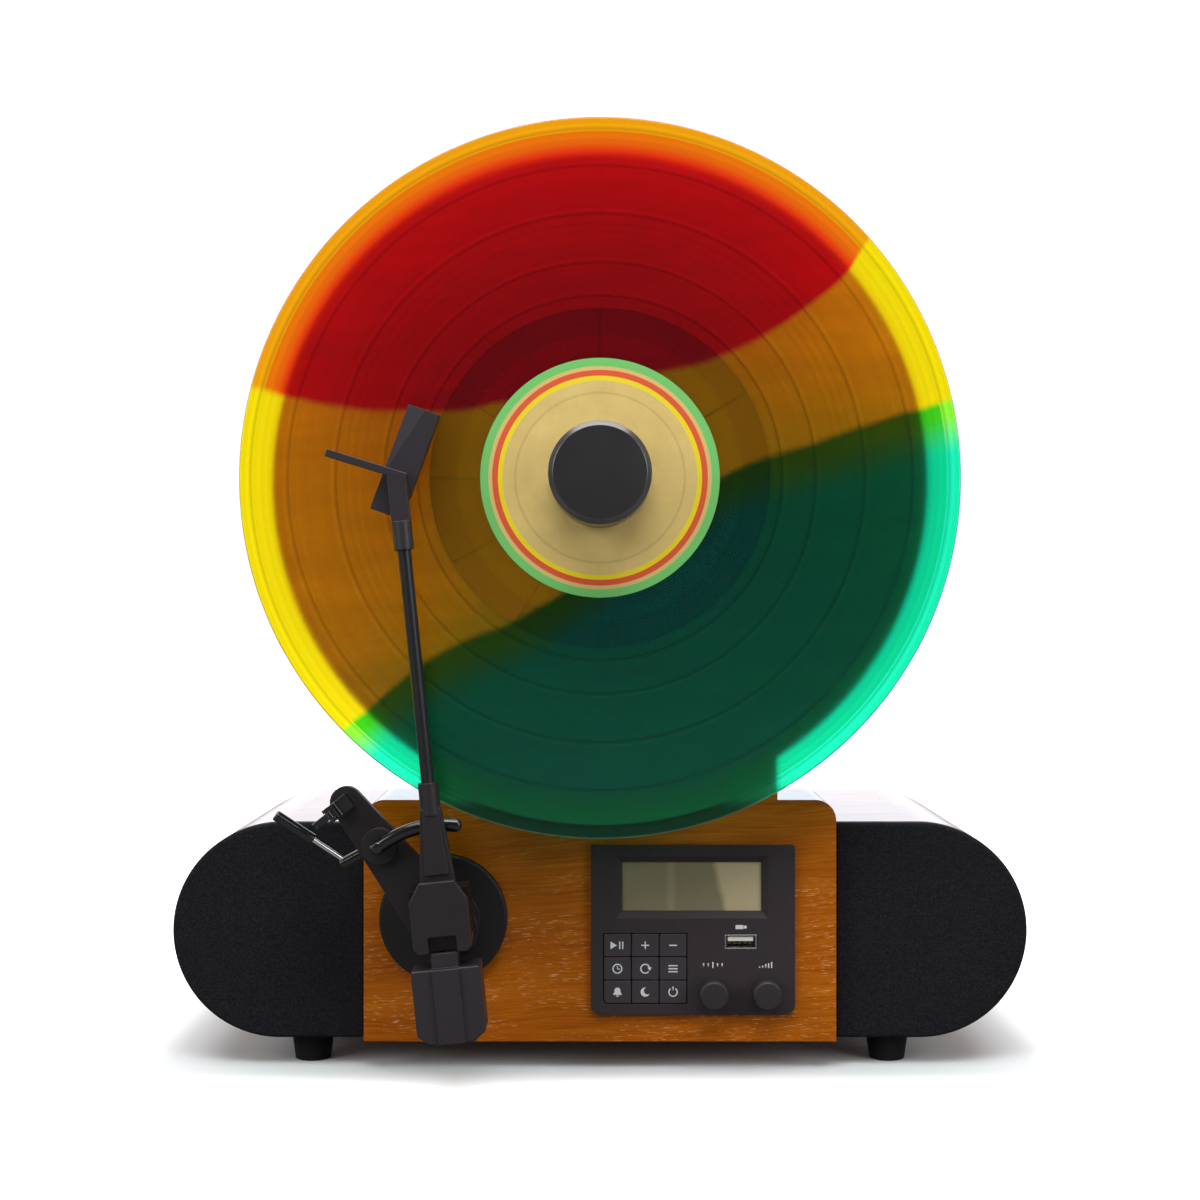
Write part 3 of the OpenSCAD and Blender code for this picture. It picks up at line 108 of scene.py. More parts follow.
@dataclass(frozen=True)
class Bench:
    """A work frame: an origin in millimetres, and the directions across, along and out as rows."""

    origin: Array
    axes: Array

    @staticmethod
    def world() -> Bench:
        """The frame's own axes."""
        return Bench(np.zeros(3), np.eye(3))

    def at(self, across: float = 0.0, along: float = 0.0, out: float = 0.0) -> Bench:
        """The same directions at another place of this bench."""
        return Bench(self.origin + np.array([across, along, out]) @ self.axes, self.axes)

    def turned(self, degrees: float) -> Bench:
        """Turned about its out direction, counter-clockwise when that points at the eye."""
        c, s = math.cos(math.radians(degrees)), math.sin(math.radians(degrees))
        return Bench(self.origin, np.array([[c, s, 0.0], [-s, c, 0.0], [0.0, 0.0, 1.0]]) @ self.axes)

    def leaned(self, degrees: float) -> Bench:
        """Turned about its along direction, so that out leans away from across."""
        c, s = math.cos(math.radians(degrees)), math.sin(math.radians(degrees))
        return Bench(self.origin, np.array([[c, 0.0, s], [0.0, 1.0, 0.0], [-s, 0.0, c]]) @ self.axes)

    def aimed(self, direction: Sequence[float]) -> Bench:
        """The same origin, with out along a direction of this bench.

        Args:
            direction: the new out direction, in this bench's own terms.

        Returns:
            The aimed bench.
        """
        out = np.array(direction, float)
        out /= np.linalg.norm(out)
        side = np.cross(np.array([0.0, 0.0, 1.0]), out)
        side /= np.linalg.norm(side)
        return Bench(self.origin, np.stack([side, np.cross(out, side), out]) @ self.axes)

    def place(self, points: Array) -> Array:
        """Points of this bench, in metres of the frame."""
        return (self.origin + points @ self.axes) * MM


@dataclass
class Shell:
    """A surface: points in millimetres, and faces as lists of point numbers."""

    points: Array
    faces: list[list[int]]

    @staticmethod
    def joined(*shells: Shell) -> Shell:
        """Several shells as one, with the later ones' point numbers moved up."""
        starts = np.cumsum([0] + [len(s.points) for s in shells[:-1]])
        return Shell(np.concatenate([s.points for s in shells]),
                     [[n + int(k) for n in face] for s, k in zip(shells, starts) for face in s.faces])

    def moved(self, bench: Bench, onto: Bench) -> Shell:
        """The shell of one bench, in the terms of another."""
        points = (bench.origin + self.points @ bench.axes - onto.origin) @ onto.axes.T
        return Shell(points, self.faces)


def skin(rows: Array, ring: bool = False) -> Shell:
    """Covers a grid of points with quads.

    Point (i, j) is joined to (i, j + 1), (i + 1, j + 1) and (i + 1, j). Each row is a closed loop.

    Args:
        rows: points as rows by columns by three.
        ring: whether the last row joins the first. Otherwise both end rows get a flat cap.

    Returns:
        The covered shell.
    """
    count, around = rows.shape[:2]
    row, col = np.meshgrid(np.arange(count if ring else count - 1), np.arange(around), indexing="ij")
    up, on = (row + 1) % count * around, (col + 1) % around
    quads = np.stack([row * around + col, row * around + on, up + on, up + col], axis=-1)
    faces = quads.reshape(-1, 4).tolist()
    if not ring:
        end = (count - 1) * around
        faces += [list(range(around))[::-1], list(range(end, end + around))]
    return Shell(rows.reshape(-1, 3), faces)


def lathe(profile: Array, segments: int, ring: bool = False) -> Shell:
    """Turns a profile about the out direction: (r, w) at angle a is (r cos a, r sin a, w).

    Args:
        profile: radius and height, upwards on the outside.
        segments: steps of the turn.
        ring: whether the profile is a closed loop around a bore.

    Returns:
        The turned shell.
    """
    angle = np.arange(segments) * (FULL_TURN / segments)
    radius, out = np.asarray(profile, float).T
    rows = np.stack([np.outer(radius, np.cos(angle)), np.outer(radius, np.sin(angle)),
                     np.repeat(out[:, None], segments, axis=1)], axis=-1)
    return skin(rows, ring)


def filleted(corners: Sequence[Sequence[float]], radius: float | Sequence[float],
             closed: bool = True) -> Array:
    """Rounds a line's corners with arcs.

    A corner is cut back by r / tan(half its angle) each way. Its arc turns about the point at
    r / sin(half its angle) on the bisector, as a weighted sum of its two end radii.

    Args:
        corners: the corner points, counter-clockwise where they are an outline.
        radius: one radius, or one for each corner.
        closed: whether the line closes. Otherwise its two ends stay as they are.

    Returns:
        The points of the rounded line.
    """
    corner = np.asarray(corners, float)
    r = np.broadcast_to(np.asarray(radius, float), (len(corner),))[:, None]
    back, ahead = np.roll(corner, 1, axis=0) - corner, np.roll(corner, -1, axis=0) - corner
    back /= np.linalg.norm(back, axis=1, keepdims=True)
    ahead /= np.linalg.norm(ahead, axis=1, keepdims=True)
    half = 0.5 * np.arccos(np.clip((back * ahead).sum(axis=1, keepdims=True), -STRAIGHT, STRAIGHT))
    bisector = (back + ahead) / np.linalg.norm(back + ahead, axis=1, keepdims=True)
    middle = corner + bisector * r / np.sin(half)
    first, last = corner + back * r / np.tan(half), corner + ahead * r / np.tan(half)
    sweep, share = math.pi - 2 * half, np.linspace(0.0, 1.0, FILLET_POINTS)
    start, end = np.sin((1 - share) * sweep) / np.sin(sweep), np.sin(share * sweep) / np.sin(sweep)
    arcs = (middle[:, None] + start[..., None] * (first - middle)[:, None]
            + end[..., None] * (last - middle)[:, None])
    if closed:
        return arcs.reshape(-1, 2)
    return np.concatenate([corner[:1], arcs[1:-1].reshape(-1, 2), corner[-1:]])


def drawn_in(outline: Array, amount: float) -> Array:
    """Draws a counter-clockwise outline in, each point along the mitre of its two edges.

    Args:
        outline: counter-clockwise points.
        amount: how far each edge moves in.

    Returns:
        The smaller outline.
    """
    edge = np.roll(outline, -1, axis=0) - outline
    edge /= np.linalg.norm(edge, axis=1, keepdims=True)
    inward = np.stack([-edge[:, 1], edge[:, 0]], axis=1)
    before = np.roll(inward, 1, axis=0)
    mitre = (before + inward) / (1.0 + (before * inward).sum(axis=1, keepdims=True))
    return outline + amount * mitre


def stack(outline: Array, insets: Array, levels: Array) -> Shell:
    """Carries an outline through heights, drawn in by its own amount at each.

    Args:
        outline: counter-clockwise points.
        insets: how far the outline is drawn in at each level.
        levels: heights, upwards on the outside.

    Returns:
        The stacked shell.
    """
    rows = [np.column_stack([drawn_in(outline, d), np.full(len(outline), w)])
            for d, w in zip(insets, levels)]
    return skin(np.stack(rows))


def prism(outline: Array, low: float, high: float, ease: float) -> Shell:
    """Raises an outline between two heights, with a quarter round along both ends.

    At angle a of the round the outline is drawn in by ease (1 - cos a) and stands
    ease (1 - sin a) short of the end.

    Args:
        outline: counter-clockwise points.
        low: height of the lower end.
        high: height of the upper end.
        ease: radius of the rounds.

    Returns:
        The raised shell.
    """
    angle = np.linspace(QUARTER_TURN, 0.0, EASE_POINTS)
    draw, short = ease * (1 - np.cos(angle)), ease * (1 - np.sin(angle))
    return stack(outline, np.concatenate([draw, draw[::-1]]),
                 np.concatenate([low + short, high - short[::-1]]))


def flat_prism(outline: Array, low: float, high: float) -> Shell:
    """Raises an outline between two heights, with sharp ends, for thin prints."""
    return stack(outline, np.zeros(2), np.array([low, high]))


def rectangle(low: Sequence[float], high: Sequence[float], radius: float | Sequence[float]) -> Array:
    """A rectangle with round corners, counter-clockwise from its lower left corner."""
    (x0, y0), (x1, y1) = low, high
    return filleted([(x0, y0), (x1, y0), (x1, y1), (x0, y1)], radius)


def block(corners: Sequence[Sequence[float]], levels: Pair, ease: Ease) -> Shell:
    """Raises counter-clockwise corners between two heights, eased at the corners and both ends."""
    return prism(filleted(corners, ease[0]), *levels, ease[1])


def slab(low: Sequence[float], high: Sequence[float], levels: Pair, ease: Ease) -> Shell:
    """Raises a rectangle between two heights, eased as a block is."""
    return prism(rectangle(low, high, ease[0]), *levels, ease[1])


def peg(radius: float, inner: Pair, levels: Pair, rounds: Pair, points: int) -> Shell:
    """Turns a round peg.

    Args:
        radius: of its side.
        inner: radius of the flat middle of its lower and upper end.
        levels: heights of its two ends.
        rounds: radius of its lower and upper edge.
        points: points around it.

    Returns:
        The turned peg.
    """
    low, high = levels
    line = [(inner[0], low), (radius, low), (radius, high), (inner[1], high)]
    return lathe(filleted(line, [0.0, *rounds, 0.0], closed=False), points)


def band(radius: float, width: float, start: float, end: float) -> Array:
    """The outline of a ring's sector, out along its outer arc and back along its inner one.

    Args:
        radius: of the ring's middle line.
        width: of the ring.
        start: where it starts, in degrees.
        end: where it ends.

    Returns:
        The counter-clockwise outline.
    """
    angle = np.radians(np.linspace(start, end, ARC_POINTS))[:, None]
    arc = np.concatenate([np.cos(angle), np.sin(angle)], axis=1)
    return np.concatenate([(radius + width / 2) * arc, ((radius - width / 2) * arc)[::-1]])


def ball_ended(length: float, radius: float, between: int = 2) -> Array:
    """A rod's radius along its length, with half-ball ends.

    Args:
        length: from tip to tip.
        radius: of the rod.
        between: places on the straight stretch.

    Returns:
        Rows of radius and distance from the first tip.
    """
    angle = np.linspace(BALL_START, QUARTER_TURN, BALL_POINTS)
    end = np.column_stack([radius * np.sin(angle), radius * (1 - np.cos(angle))])
    middle = np.column_stack([np.full(between, radius),
                              np.linspace(radius, length - radius, between + 2)[1:-1]])
    return np.concatenate([end, middle, (end * [1, -1] + [0, length])[::-1]])


def bent_rod(bend: float, start: float, sweep: float, radius: float, broad: float) -> Shell:
    """A rod bent to an arc about the out direction, with rounded ends.

    At distance s along the rod and angle b about it, the point is at radius
    bend + broad r(s) cos b from the axis, at angle start + s / bend, and at height -r(s) sin b.

    Args:
        bend: radius of the arc.
        start: where the arc starts, in degrees.
        sweep: how far it turns, in degrees.
        radius: half the rod's height.
        broad: the rod's breadth as a share of its height.

    Returns:
        The bent rod.
    """
    thick, along = ball_ended(bend * math.radians(sweep), radius, ARC_POINTS).T
    angle = (math.radians(start) + along / bend)[:, None]
    about = (np.arange(ROD_POINTS) * (FULL_TURN / ROD_POINTS))[None]
    reach = bend + broad * thick[:, None] * np.cos(about)
    rows = np.stack([reach * np.cos(angle), reach * np.sin(angle),
                     -thick[:, None] * np.sin(about)], axis=-1)
    return skin(rows)


# Shader nodes


class Graph:
    """Writes nodes and links into one node tree."""

    def __init__(self, tree: Tree) -> None:
        """Keeps the tree that is written to."""
        self.tree = tree

    def add(self, kind: str, inputs: Mapping[Any, Any] | None = None, **settings: Any) -> Node:
        """Adds a node.

        Args:
            kind: the node's type, without its ShaderNode prefix.
            inputs: sockets or plain values by input name or number.
            settings: the node's own options.

        Returns:
            The new node.
        """
        node = self.tree.nodes.new("ShaderNode" + kind)
        for key, value in settings.items():
            setattr(node, key, value)
        for key, value in (inputs or {}).items():
            self.feed(node.inputs[key], value)
        return node

    def feed(self, target: Socket, value: Any) -> None:
        """Links a socket into an input, or sets the input's own value.

        Args:
            target: the input.
            value: the socket or plain value.
        """
        if isinstance(value, Socket):
            self.tree.links.new(value, target)
        elif target.type == "RGBA" and len(value) == 3:
            target.default_value = (*value, 1.0)
        else:
            target.default_value = value

    def math(self, operation: str, *values: Any, clamp: bool = False) -> Socket:
        """The result of a Math node."""
        return self.add("Math", dict(enumerate(values)), operation=operation,
                        use_clamp=clamp).outputs[0]

    def mix(self, share: Any, low: Any, high: Any) -> Socket:
        """A colour between two colours."""
        return self.add("Mix", {0: share, 6: low, 7: high}, data_type="RGBA").outputs[2]

    def grey(self, value: Socket) -> Socket:
        """A grey as light as a value."""
        return self.add("CombineColor", {0: value, 1: value, 2: value}).outputs[0]

    def tint(self, colour: Any, value: Socket) -> Socket:
        """A colour made lighter or darker by a value."""
        return self.add("Mix", {0: 1.0, 6: colour, 7: self.grey(value)}, data_type="RGBA",
                        blend_type="MULTIPLY", clamp_result=True).outputs[2]

    def span(self, value: Any, low: float, high: float, to_low: float = 0.0,
             to_high: float = 1.0) -> Socket:
        """A smooth step of a value between two limits."""
        return self.add("MapRange", {"Value": value, "From Min": low, "From Max": high,
                                     "To Min": to_low, "To Max": to_high},
                        interpolation_type="SMOOTHSTEP").outputs[0]

    def step(self, value: Any, at: float, soft: float, to_low: float = 0.0,
             to_high: float = 1.0) -> Socket:
        """A smooth step of a value about a place, as soft to both sides."""
        return self.span(value, at - soft, at + soft, to_low, to_high)

    def around(self, value: Socket, spread: Any, middle: Any) -> Socket:
        """A noise value, spread about a middle."""
        return self.math("MULTIPLY_ADD", self.math("SUBTRACT", value, 0.5), spread, middle)

    def away(self, value: Socket, at: float) -> Socket:
        """How far a value is from a place."""
        return self.math("ABSOLUTE", self.math("SUBTRACT", value, at))

    def wave(self, value: Socket, pitch: float) -> Socket:
        """A wave from -1 to 1 that repeats at a pitch."""
        return self.math("SINE", self.math("MULTIPLY", value, FULL_TURN / pitch))

    def place(self, scale: Triple = (1.0, 1.0, 1.0), origin: Triple = (0.0, 0.0, 0.0)) -> Socket:
        """The piece's own coordinates in millimetres from an origin, stretched by a scale."""
        coords = self.add("TexCoord").outputs["Object"]
        return self.add("Mapping", {"Vector": coords, "Scale": tuple(s / MM for s in scale),
                                    "Location": tuple(-s * o for s, o in zip(scale, origin))}
                        ).outputs[0]

    def stretch(self, vector: Socket, scale: Triple) -> Socket:
        """A vector with each part multiplied."""
        return self.add("VectorMath", {0: vector, 1: scale}, operation="MULTIPLY").outputs[0]

    def radius(self, place: Socket) -> Socket:
        """How far a place is from the axis that runs from the front to the back."""
        flat = self.stretch(place, (1.0, 0.0, 1.0))
        return self.add("VectorMath", {0: flat}, operation="LENGTH").outputs["Value"]

    def split(self, vector: Socket) -> tuple[Socket, Socket, Socket]:
        """The three parts of a vector."""
        parts = self.add("SeparateXYZ", {0: vector}).outputs
        return parts[0], parts[1], parts[2]

    def noise(self, vector: Socket, scale: Any = 1.0, detail: float = 2.0,
              roughness: float = 0.5) -> Socket:
        """A noise value around one half."""
        return self.add("TexNoise", {"Vector": vector, "Scale": scale, "Detail": detail,
                                     "Roughness": roughness}).outputs[0]

    def ramp(self, value: Any, stops: Sequence[tuple[float, Colour]]) -> Socket:
        """A colour that follows a value through stops.

        Args:
            value: from 0 to 1.
            stops: places with their colours.

        Returns:
            The colour.
        """
        node = self.add("ValToRGB", {0: value})
        elements = node.color_ramp.elements
        while len(elements) < len(stops):
            elements.new(0.5)
        for element, (position, colour) in zip(elements, stops):
            element.position, element.color = position, (*colour, 1.0)
        return node.outputs[0]

    def curve(self, value: Socket, points: Sequence[Pair], reach: float) -> Socket:
        """A smooth curve through points, over values and results from -reach to reach.

        Args:
            value: where the curve is read.
            points: pairs of value and result.
            reach: the size of both axes.

        Returns:
            The curve's result.
        """
        share = self.math("MULTIPLY_ADD", value, 0.5 / reach, 0.5)
        node = self.add("FloatCurve", {"Value": share})
        line = node.mapping.curves[0]
        while len(line.points) < len(points):
            line.points.new(0.5, 0.5)
        for point, (x, y) in zip(line.points, sorted(points)):
            point.location = (0.5 + 0.5 * x / reach, 0.5 + 0.5 * y / reach)
        node.mapping.update()
        return self.math("MULTIPLY_ADD", node.outputs[0], 2 * reach, -reach)

    def bump(self, height: Socket, distance: float, strength: float = 1.0,
             normal: Socket | None = None) -> Socket:
        """A normal that follows a height, given in millimetres.

        Args:
            height: what the normal follows.
            distance: how high a height of one stands.
            strength: how strongly it shows.
            normal: what it starts from, if that isn't the surface's own.

        Returns:
            The bent normal.
        """
        inputs = {"Height": height, "Distance": distance * MM, "Strength": strength}
        if normal is not None:
            inputs["Normal"] = normal
        return self.add("Bump", inputs).outputs[0]


class Effects:
    """Node groups that several finishes share, each made once."""

    EDGE_START = 0.995
    EDGE_FULL = 0.8
    EDGE_FLOOR = 0.2
    BEVEL_SAMPLES = 4

    @staticmethod
    def start(name: str, inputs: Mapping[str, float], outputs: Mapping[str, str]
              ) -> tuple[Tree, Graph, Node, Node]:
        """Starts a group.

        Args:
            name: the group's name.
            inputs: its number inputs with their usual values.
            outputs: its outputs with their kinds.

        Returns:
            The tree, its graph, and the nodes that hold its inputs and outputs.
        """
        tree = bpy.data.node_groups.new(name, "ShaderNodeTree")
        for key, value in inputs.items():
            tree.interface.new_socket(key, in_out="INPUT",
                                      socket_type="NodeSocketFloat").default_value = value
        for key, kind in outputs.items():
            tree.interface.new_socket(key, in_out="OUTPUT", socket_type="NodeSocket" + kind)
        return (tree, Graph(tree), tree.nodes.new("NodeGroupInput"), tree.nodes.new("NodeGroupOutput"))

    @staticmethod
    @cache
    def fine_grain() -> Tree:
        """A fine speckle: a shade around one, and a height, at a given grain size.

        Returns:
            The group.
        """
        tree, g, given, made = Effects.start(
            "fine_grain", {"Grain": 1.0, "Contrast": 0.2}, {"Shade": "Float", "Height": "Float"})
        scale = g.math("DIVIDE", 1.0, given.outputs["Grain"])
        fine = g.noise(g.place(), scale, detail=3.0, roughness=0.6)
        g.feed(made.inputs["Shade"], g.around(fine, given.outputs["Contrast"], 1.0))
        g.feed(made.inputs["Height"], fine)
        return tree

    @staticmethod
    @cache
    def handling() -> Tree:
        """Soft patches left by handling: a roughness around a middle value.

        Returns:
            The group.
        """
        tree, g, given, made = Effects.start(
            "handling", {"Middle": 0.5, "Spread": 0.1, "Patch": 25.0}, {"Roughness": "Float"})
        scale = g.math("DIVIDE", 1.0, given.outputs["Patch"])
        patch = g.noise(g.place(), scale, detail=4.0, roughness=0.55)
        g.feed(made.inputs["Roughness"],
               g.around(patch, given.outputs["Spread"], given.outputs["Middle"]))
        return tree

    @staticmethod
    @cache
    def eased_edge() -> Tree:
        """Rounds edges in the light: a normal, a mask of all edges, and a mask of the edges that face up
        or down, which is a painted highlight.

        Returns:
            The group.
        """
        tree, g, given, made = Effects.start(
            "eased_edge", {"Radius": 0.4}, {"Normal": "Vector", "Edge": "Float", "Lit": "Float"})
        radius = g.math("MULTIPLY", given.outputs["Radius"], MM)
        soft = g.add("Bevel", {"Radius": radius}, samples=Effects.BEVEL_SAMPLES).outputs[0]
        hard = g.add("NewGeometry").outputs["Normal"]
        facing = g.add("VectorMath", {0: soft, 1: hard}, operation="DOT_PRODUCT").outputs["Value"]
        edge = g.span(facing, Effects.EDGE_START, Effects.EDGE_FULL)
        # Edges that face up or down count as lit: a painted highlight where overhead light and the pale
        # floor would catch them.
        level = g.math("ADD", g.math("ABSOLUTE", g.split(soft)[2]), Effects.EDGE_FLOOR)
        g.feed(made.inputs["Normal"], soft)
        g.feed(made.inputs["Edge"], edge)
        g.feed(made.inputs["Lit"], g.math("MULTIPLY", edge, level))
        return tree


# Finishes


@dataclass(frozen=True)
class Finish:
    """A finish that is made into a material once."""

    name: str

    def material(self) -> bpy.types.Material:
        """The finish's material, made at its first use.

        Returns:
            The material.
        """
        label = "finish_" + self.name
        found = bpy.data.materials.get(label)
        if found is None:
            found = bpy.data.materials.new(label)
            found.use_nodes = True
            graph = Graph(found.node_tree)
            found.node_tree.nodes.clear()
            shader = graph.add("BsdfPrincipled", self.paint(graph))
            graph.add("OutputMaterial", {"Surface": shader.outputs[0]})
        return found

    def paint(self, graph: Graph) -> dict[str, Any]:
        """Draws the finish, and gives the shader's inputs by name."""
        raise NotImplementedError

    @staticmethod
    def speckle(graph: Graph, grain: float, contrast: float) -> tuple[Socket, Socket]:
        """A fine grain's shade around one, and its height."""
        made = graph.add("Group", {"Grain": grain, "Contrast": contrast}, node_tree=Effects.fine_grain())
        return made.outputs["Shade"], made.outputs["Height"]

    @staticmethod
    def handled(graph: Graph, middle: float, spread: float, patch: float) -> Socket:
        """A roughness around a middle value, in soft patches of a given size."""
        inputs = {"Middle": middle, "Spread": spread, "Patch": patch}
        return graph.add("Group", inputs, node_tree=Effects.handling()).outputs["Roughness"]

    @staticmethod
    def eased(graph: Graph, radius: float) -> Mapping[str, Socket]:
        """The rounded normal, the mask of all edges and the mask of edges that take a painted highlight,
        by name.
        """
        return graph.add("Group", {"Radius": radius}, node_tree=Effects.eased_edge()).outputs


@dataclass(frozen=True)
class Moulded(Finish):
    """Plastic, rubber, paper or paint with a fine texture, eased edges and a painted highlight on edges
    that face up or down.
    """

    colour: Colour = (0.020, 0.018, 0.022)
    roughness: float = 0.48
    grain: float = 0.5
    contrast: float = 0.5
    depth: float = 0.01
    edge: float = 0.35
    # How strongly the painted edge highlight lightens the colour.
    edge_light: float = 2.6
    specular: float = 0.45
    ior: float = 1.5
    spread: float = 0.16
    patch: float = 25.0
    bump: float = 0.6

    def paint(self, graph: Graph) -> dict[str, Any]:
        """Speckles the colour, breaks up the gloss, rounds the edges and paints a highlight on those
        that face up or down.

        Args:
            graph: the material's graph.

        Returns:
            The shader's inputs by name.
        """
        shade, height = self.speckle(graph, self.grain, self.contrast)
        edge_normal_and_highlight = self.eased(graph, self.edge)
        # Painted highlight: the colour is lightened along the edges that face up or down.
        lift = graph.math("MULTIPLY_ADD", edge_normal_and_highlight["Lit"], self.edge_light, 1.0)
        return {
            "Base Color": graph.tint(self.colour, graph.math("MULTIPLY", shade, lift)),
            "Roughness": self.handled(graph, self.roughness, self.spread, self.patch),
            "Specular IOR Level": self.specular,
            "IOR": self.ior,
            "Normal": graph.bump(height, self.depth, self.bump, edge_normal_and_highlight["Normal"]),
        }


@dataclass(frozen=True)
class Layer:
    """A layer of noise that is stretched by a scale along each axis."""

    scale: Triple
    detail: float = 2.0
    roughness: float = 0.5

    def value(self, graph: Graph, place: Socket) -> Socket:
        """The layer's value at a place, around one half."""
        return graph.noise(graph.stretch(place, self.scale), 1.0, self.detail, self.roughness)


@dataclass(frozen=True)
class Veneer(Finish):
    """Orange-brown veneer with level grain, filled pale pores, a satin lacquer and a painted highlight
    along its edges.
    """

    dark: Colour = (0.300, 0.066, 0.002)
    middle: Colour = (0.460, 0.115, 0.003)
    light: Colour = (0.580, 0.165, 0.006)
    pore: Colour = (0.72, 0.38, 0.16)
    tones: Triple = (0.34, 0.5, 0.66)
    slope: float = -0.07
    wander: float = 16.0
    rise: float = 1.0
    sway: float = 0.0
    drift: Layer = Layer((0.009, 0.02, 0.02))
    broad: Layer = Layer((0.006, 0.07, 0.09), 3.0)
    streak: Layer = Layer((0.035, 0.8, 1.1), 4.0, 0.65)
    dash: Layer = Layer((0.23, 1.9, 2.1), 1.0)
    cluster: Layer = Layer((0.020, 0.05, 0.085))
    streak_share: float = 0.7
    streak_height: float = 0.5
    fleck_levels: Pair = (105.0, 70.0)
    fleck_shift: Pair = (-0.16, 0.04)
    dash_span: Pair = (0.62, 0.70)
    open_span: Pair = (0.42, 0.58)
    pore_share: float = 0.75
    edge: float = 0.6
    edge_highlight_share: float = 0.25
    gloss: Triple = (0.42, 0.14, 40.0)
    specular: float = 0.04
    coat_roughness: float = 0.16
    coat_ior: float = 1.22
    depth: float = 0.03
    bump: float = 0.5

    def paint(self, graph: Graph) -> dict[str, Any]:
        """Draws stretched noise along X, bent a little, with short pores where it is open.

        A low rise lets the grain follow a bend upwards, and the sway then curves it across. Every edge
        gets a painted highlight.

        Args:
            graph: the material's graph.

        Returns:
            The shader's inputs by name.
        """
        place = graph.place()
        x, y, z = graph.split(place)
        drift = self.drift.value(graph, place)
        lower = graph.math("MULTIPLY_ADD", x, self.slope, z)
        bent_z = graph.math("MULTIPLY", graph.math("MULTIPLY_ADD", drift, self.wander, lower),
                            self.rise)
        bent_y = graph.math("MULTIPLY_ADD", drift, self.sway, y)
        bent = graph.add("CombineXYZ", {0: x, 1: bent_y, 2: bent_z}).outputs[0]
        broad, streak, dash, cluster = (
            layer.value(graph, bent)
            for layer in (self.broad, self.streak, self.dash, self.cluster))
        tone = graph.math("MULTIPLY_ADD", streak, self.streak_share,
                          graph.math("MULTIPLY", broad, 1.0 - self.streak_share))
        colour = graph.ramp(tone, list(zip(self.tones, (self.dark, self.middle, self.light))))
        open_grain = graph.math("ADD", cluster, graph.span(z, *self.fleck_levels, *self.fleck_shift))
        pore = graph.math("MULTIPLY", graph.span(dash, *self.dash_span),
                          graph.span(open_grain, *self.open_span))
        pale = graph.mix(graph.math("MULTIPLY", pore, self.pore_share), colour, self.pore)
        edge_normal_and_highlight = self.eased(graph, self.edge)
        # Painted highlight: every edge is mixed towards the light tone.
        edge = graph.math("MULTIPLY", edge_normal_and_highlight["Edge"], self.edge_highlight_share)
        height = graph.math("SUBTRACT", graph.math("MULTIPLY", streak, self.streak_height), pore)
        return {
            "Base Color": graph.mix(edge, pale, self.light),
            "Roughness": self.handled(graph, *self.gloss),
            "Specular IOR Level": self.specular,
            "Coat Weight": 1.0,
            "Coat Roughness": self.coat_roughness,
            "Coat IOR": self.coat_ior,
            "Normal": graph.bump(height, self.depth, self.bump, edge_normal_and_highlight["Normal"]),
        }


@dataclass(frozen=True)
class SpeakerCloth(Finish):
    """Fine black acoustic cloth: crossed threads with a little dust of light in them."""

    colour: Colour = (0.0095, 0.009, 0.0125)
    pitch: float = 0.9
    grain: float = 0.85
    contrast: float = 5.5
    thread_shade: float = 0.22
    thread_height: float = 0.5
    darkest: float = 0.3
    patch_scale: float = 0.03
    patch_contrast: float = 0.5
    fibre_span: Pair = (0.2, 0.8)
    roughness: Pair = (0.78, 0.95)
    specular: float = 0.22
    sheen: float = 0.05
    sheen_roughness: float = 0.4
    depth: float = 0.12
    bump: float = 0.8

    def paint(self, graph: Graph) -> dict[str, Any]:
        """Crosses two waves of threads and scatters lighter fibres over them.

        Args:
            graph: the material's graph.

        Returns:
            The shader's inputs by name.
        """
        place = graph.place()
        x, y, z = graph.split(place)
        thread = graph.math("MULTIPLY", graph.wave(graph.math("ADD", x, y), self.pitch),
                            graph.wave(z, self.pitch))
        fibre, fuzz = self.speckle(graph, self.grain, self.contrast)
        patch = graph.noise(place, self.patch_scale, detail=3.0)
        shade = graph.math("MULTIPLY_ADD", thread, self.thread_shade, fibre)
        shade = graph.math("MULTIPLY", graph.math("MAXIMUM", shade, self.darkest),
                           graph.around(patch, self.patch_contrast, 1.0))
        height = graph.math("MULTIPLY_ADD", thread, self.thread_height, fuzz)
        return {
            "Base Color": graph.tint(self.colour, shade),
            "Roughness": graph.span(fuzz, *self.fibre_span, *self.roughness),
            "Specular IOR Level": self.specular,
            "Sheen Weight": self.sheen,
            "Sheen Roughness": self.sheen_roughness,
            "Normal": graph.bump(height, self.depth, self.bump),
        }


@dataclass(frozen=True)
class Stain:
    """One colour of the vinyl: deep over the grooves, fading to the rim, pale on its smooth lip."""

    body: Colour
    near: Colour
    rim: Colour
    lip: Colour


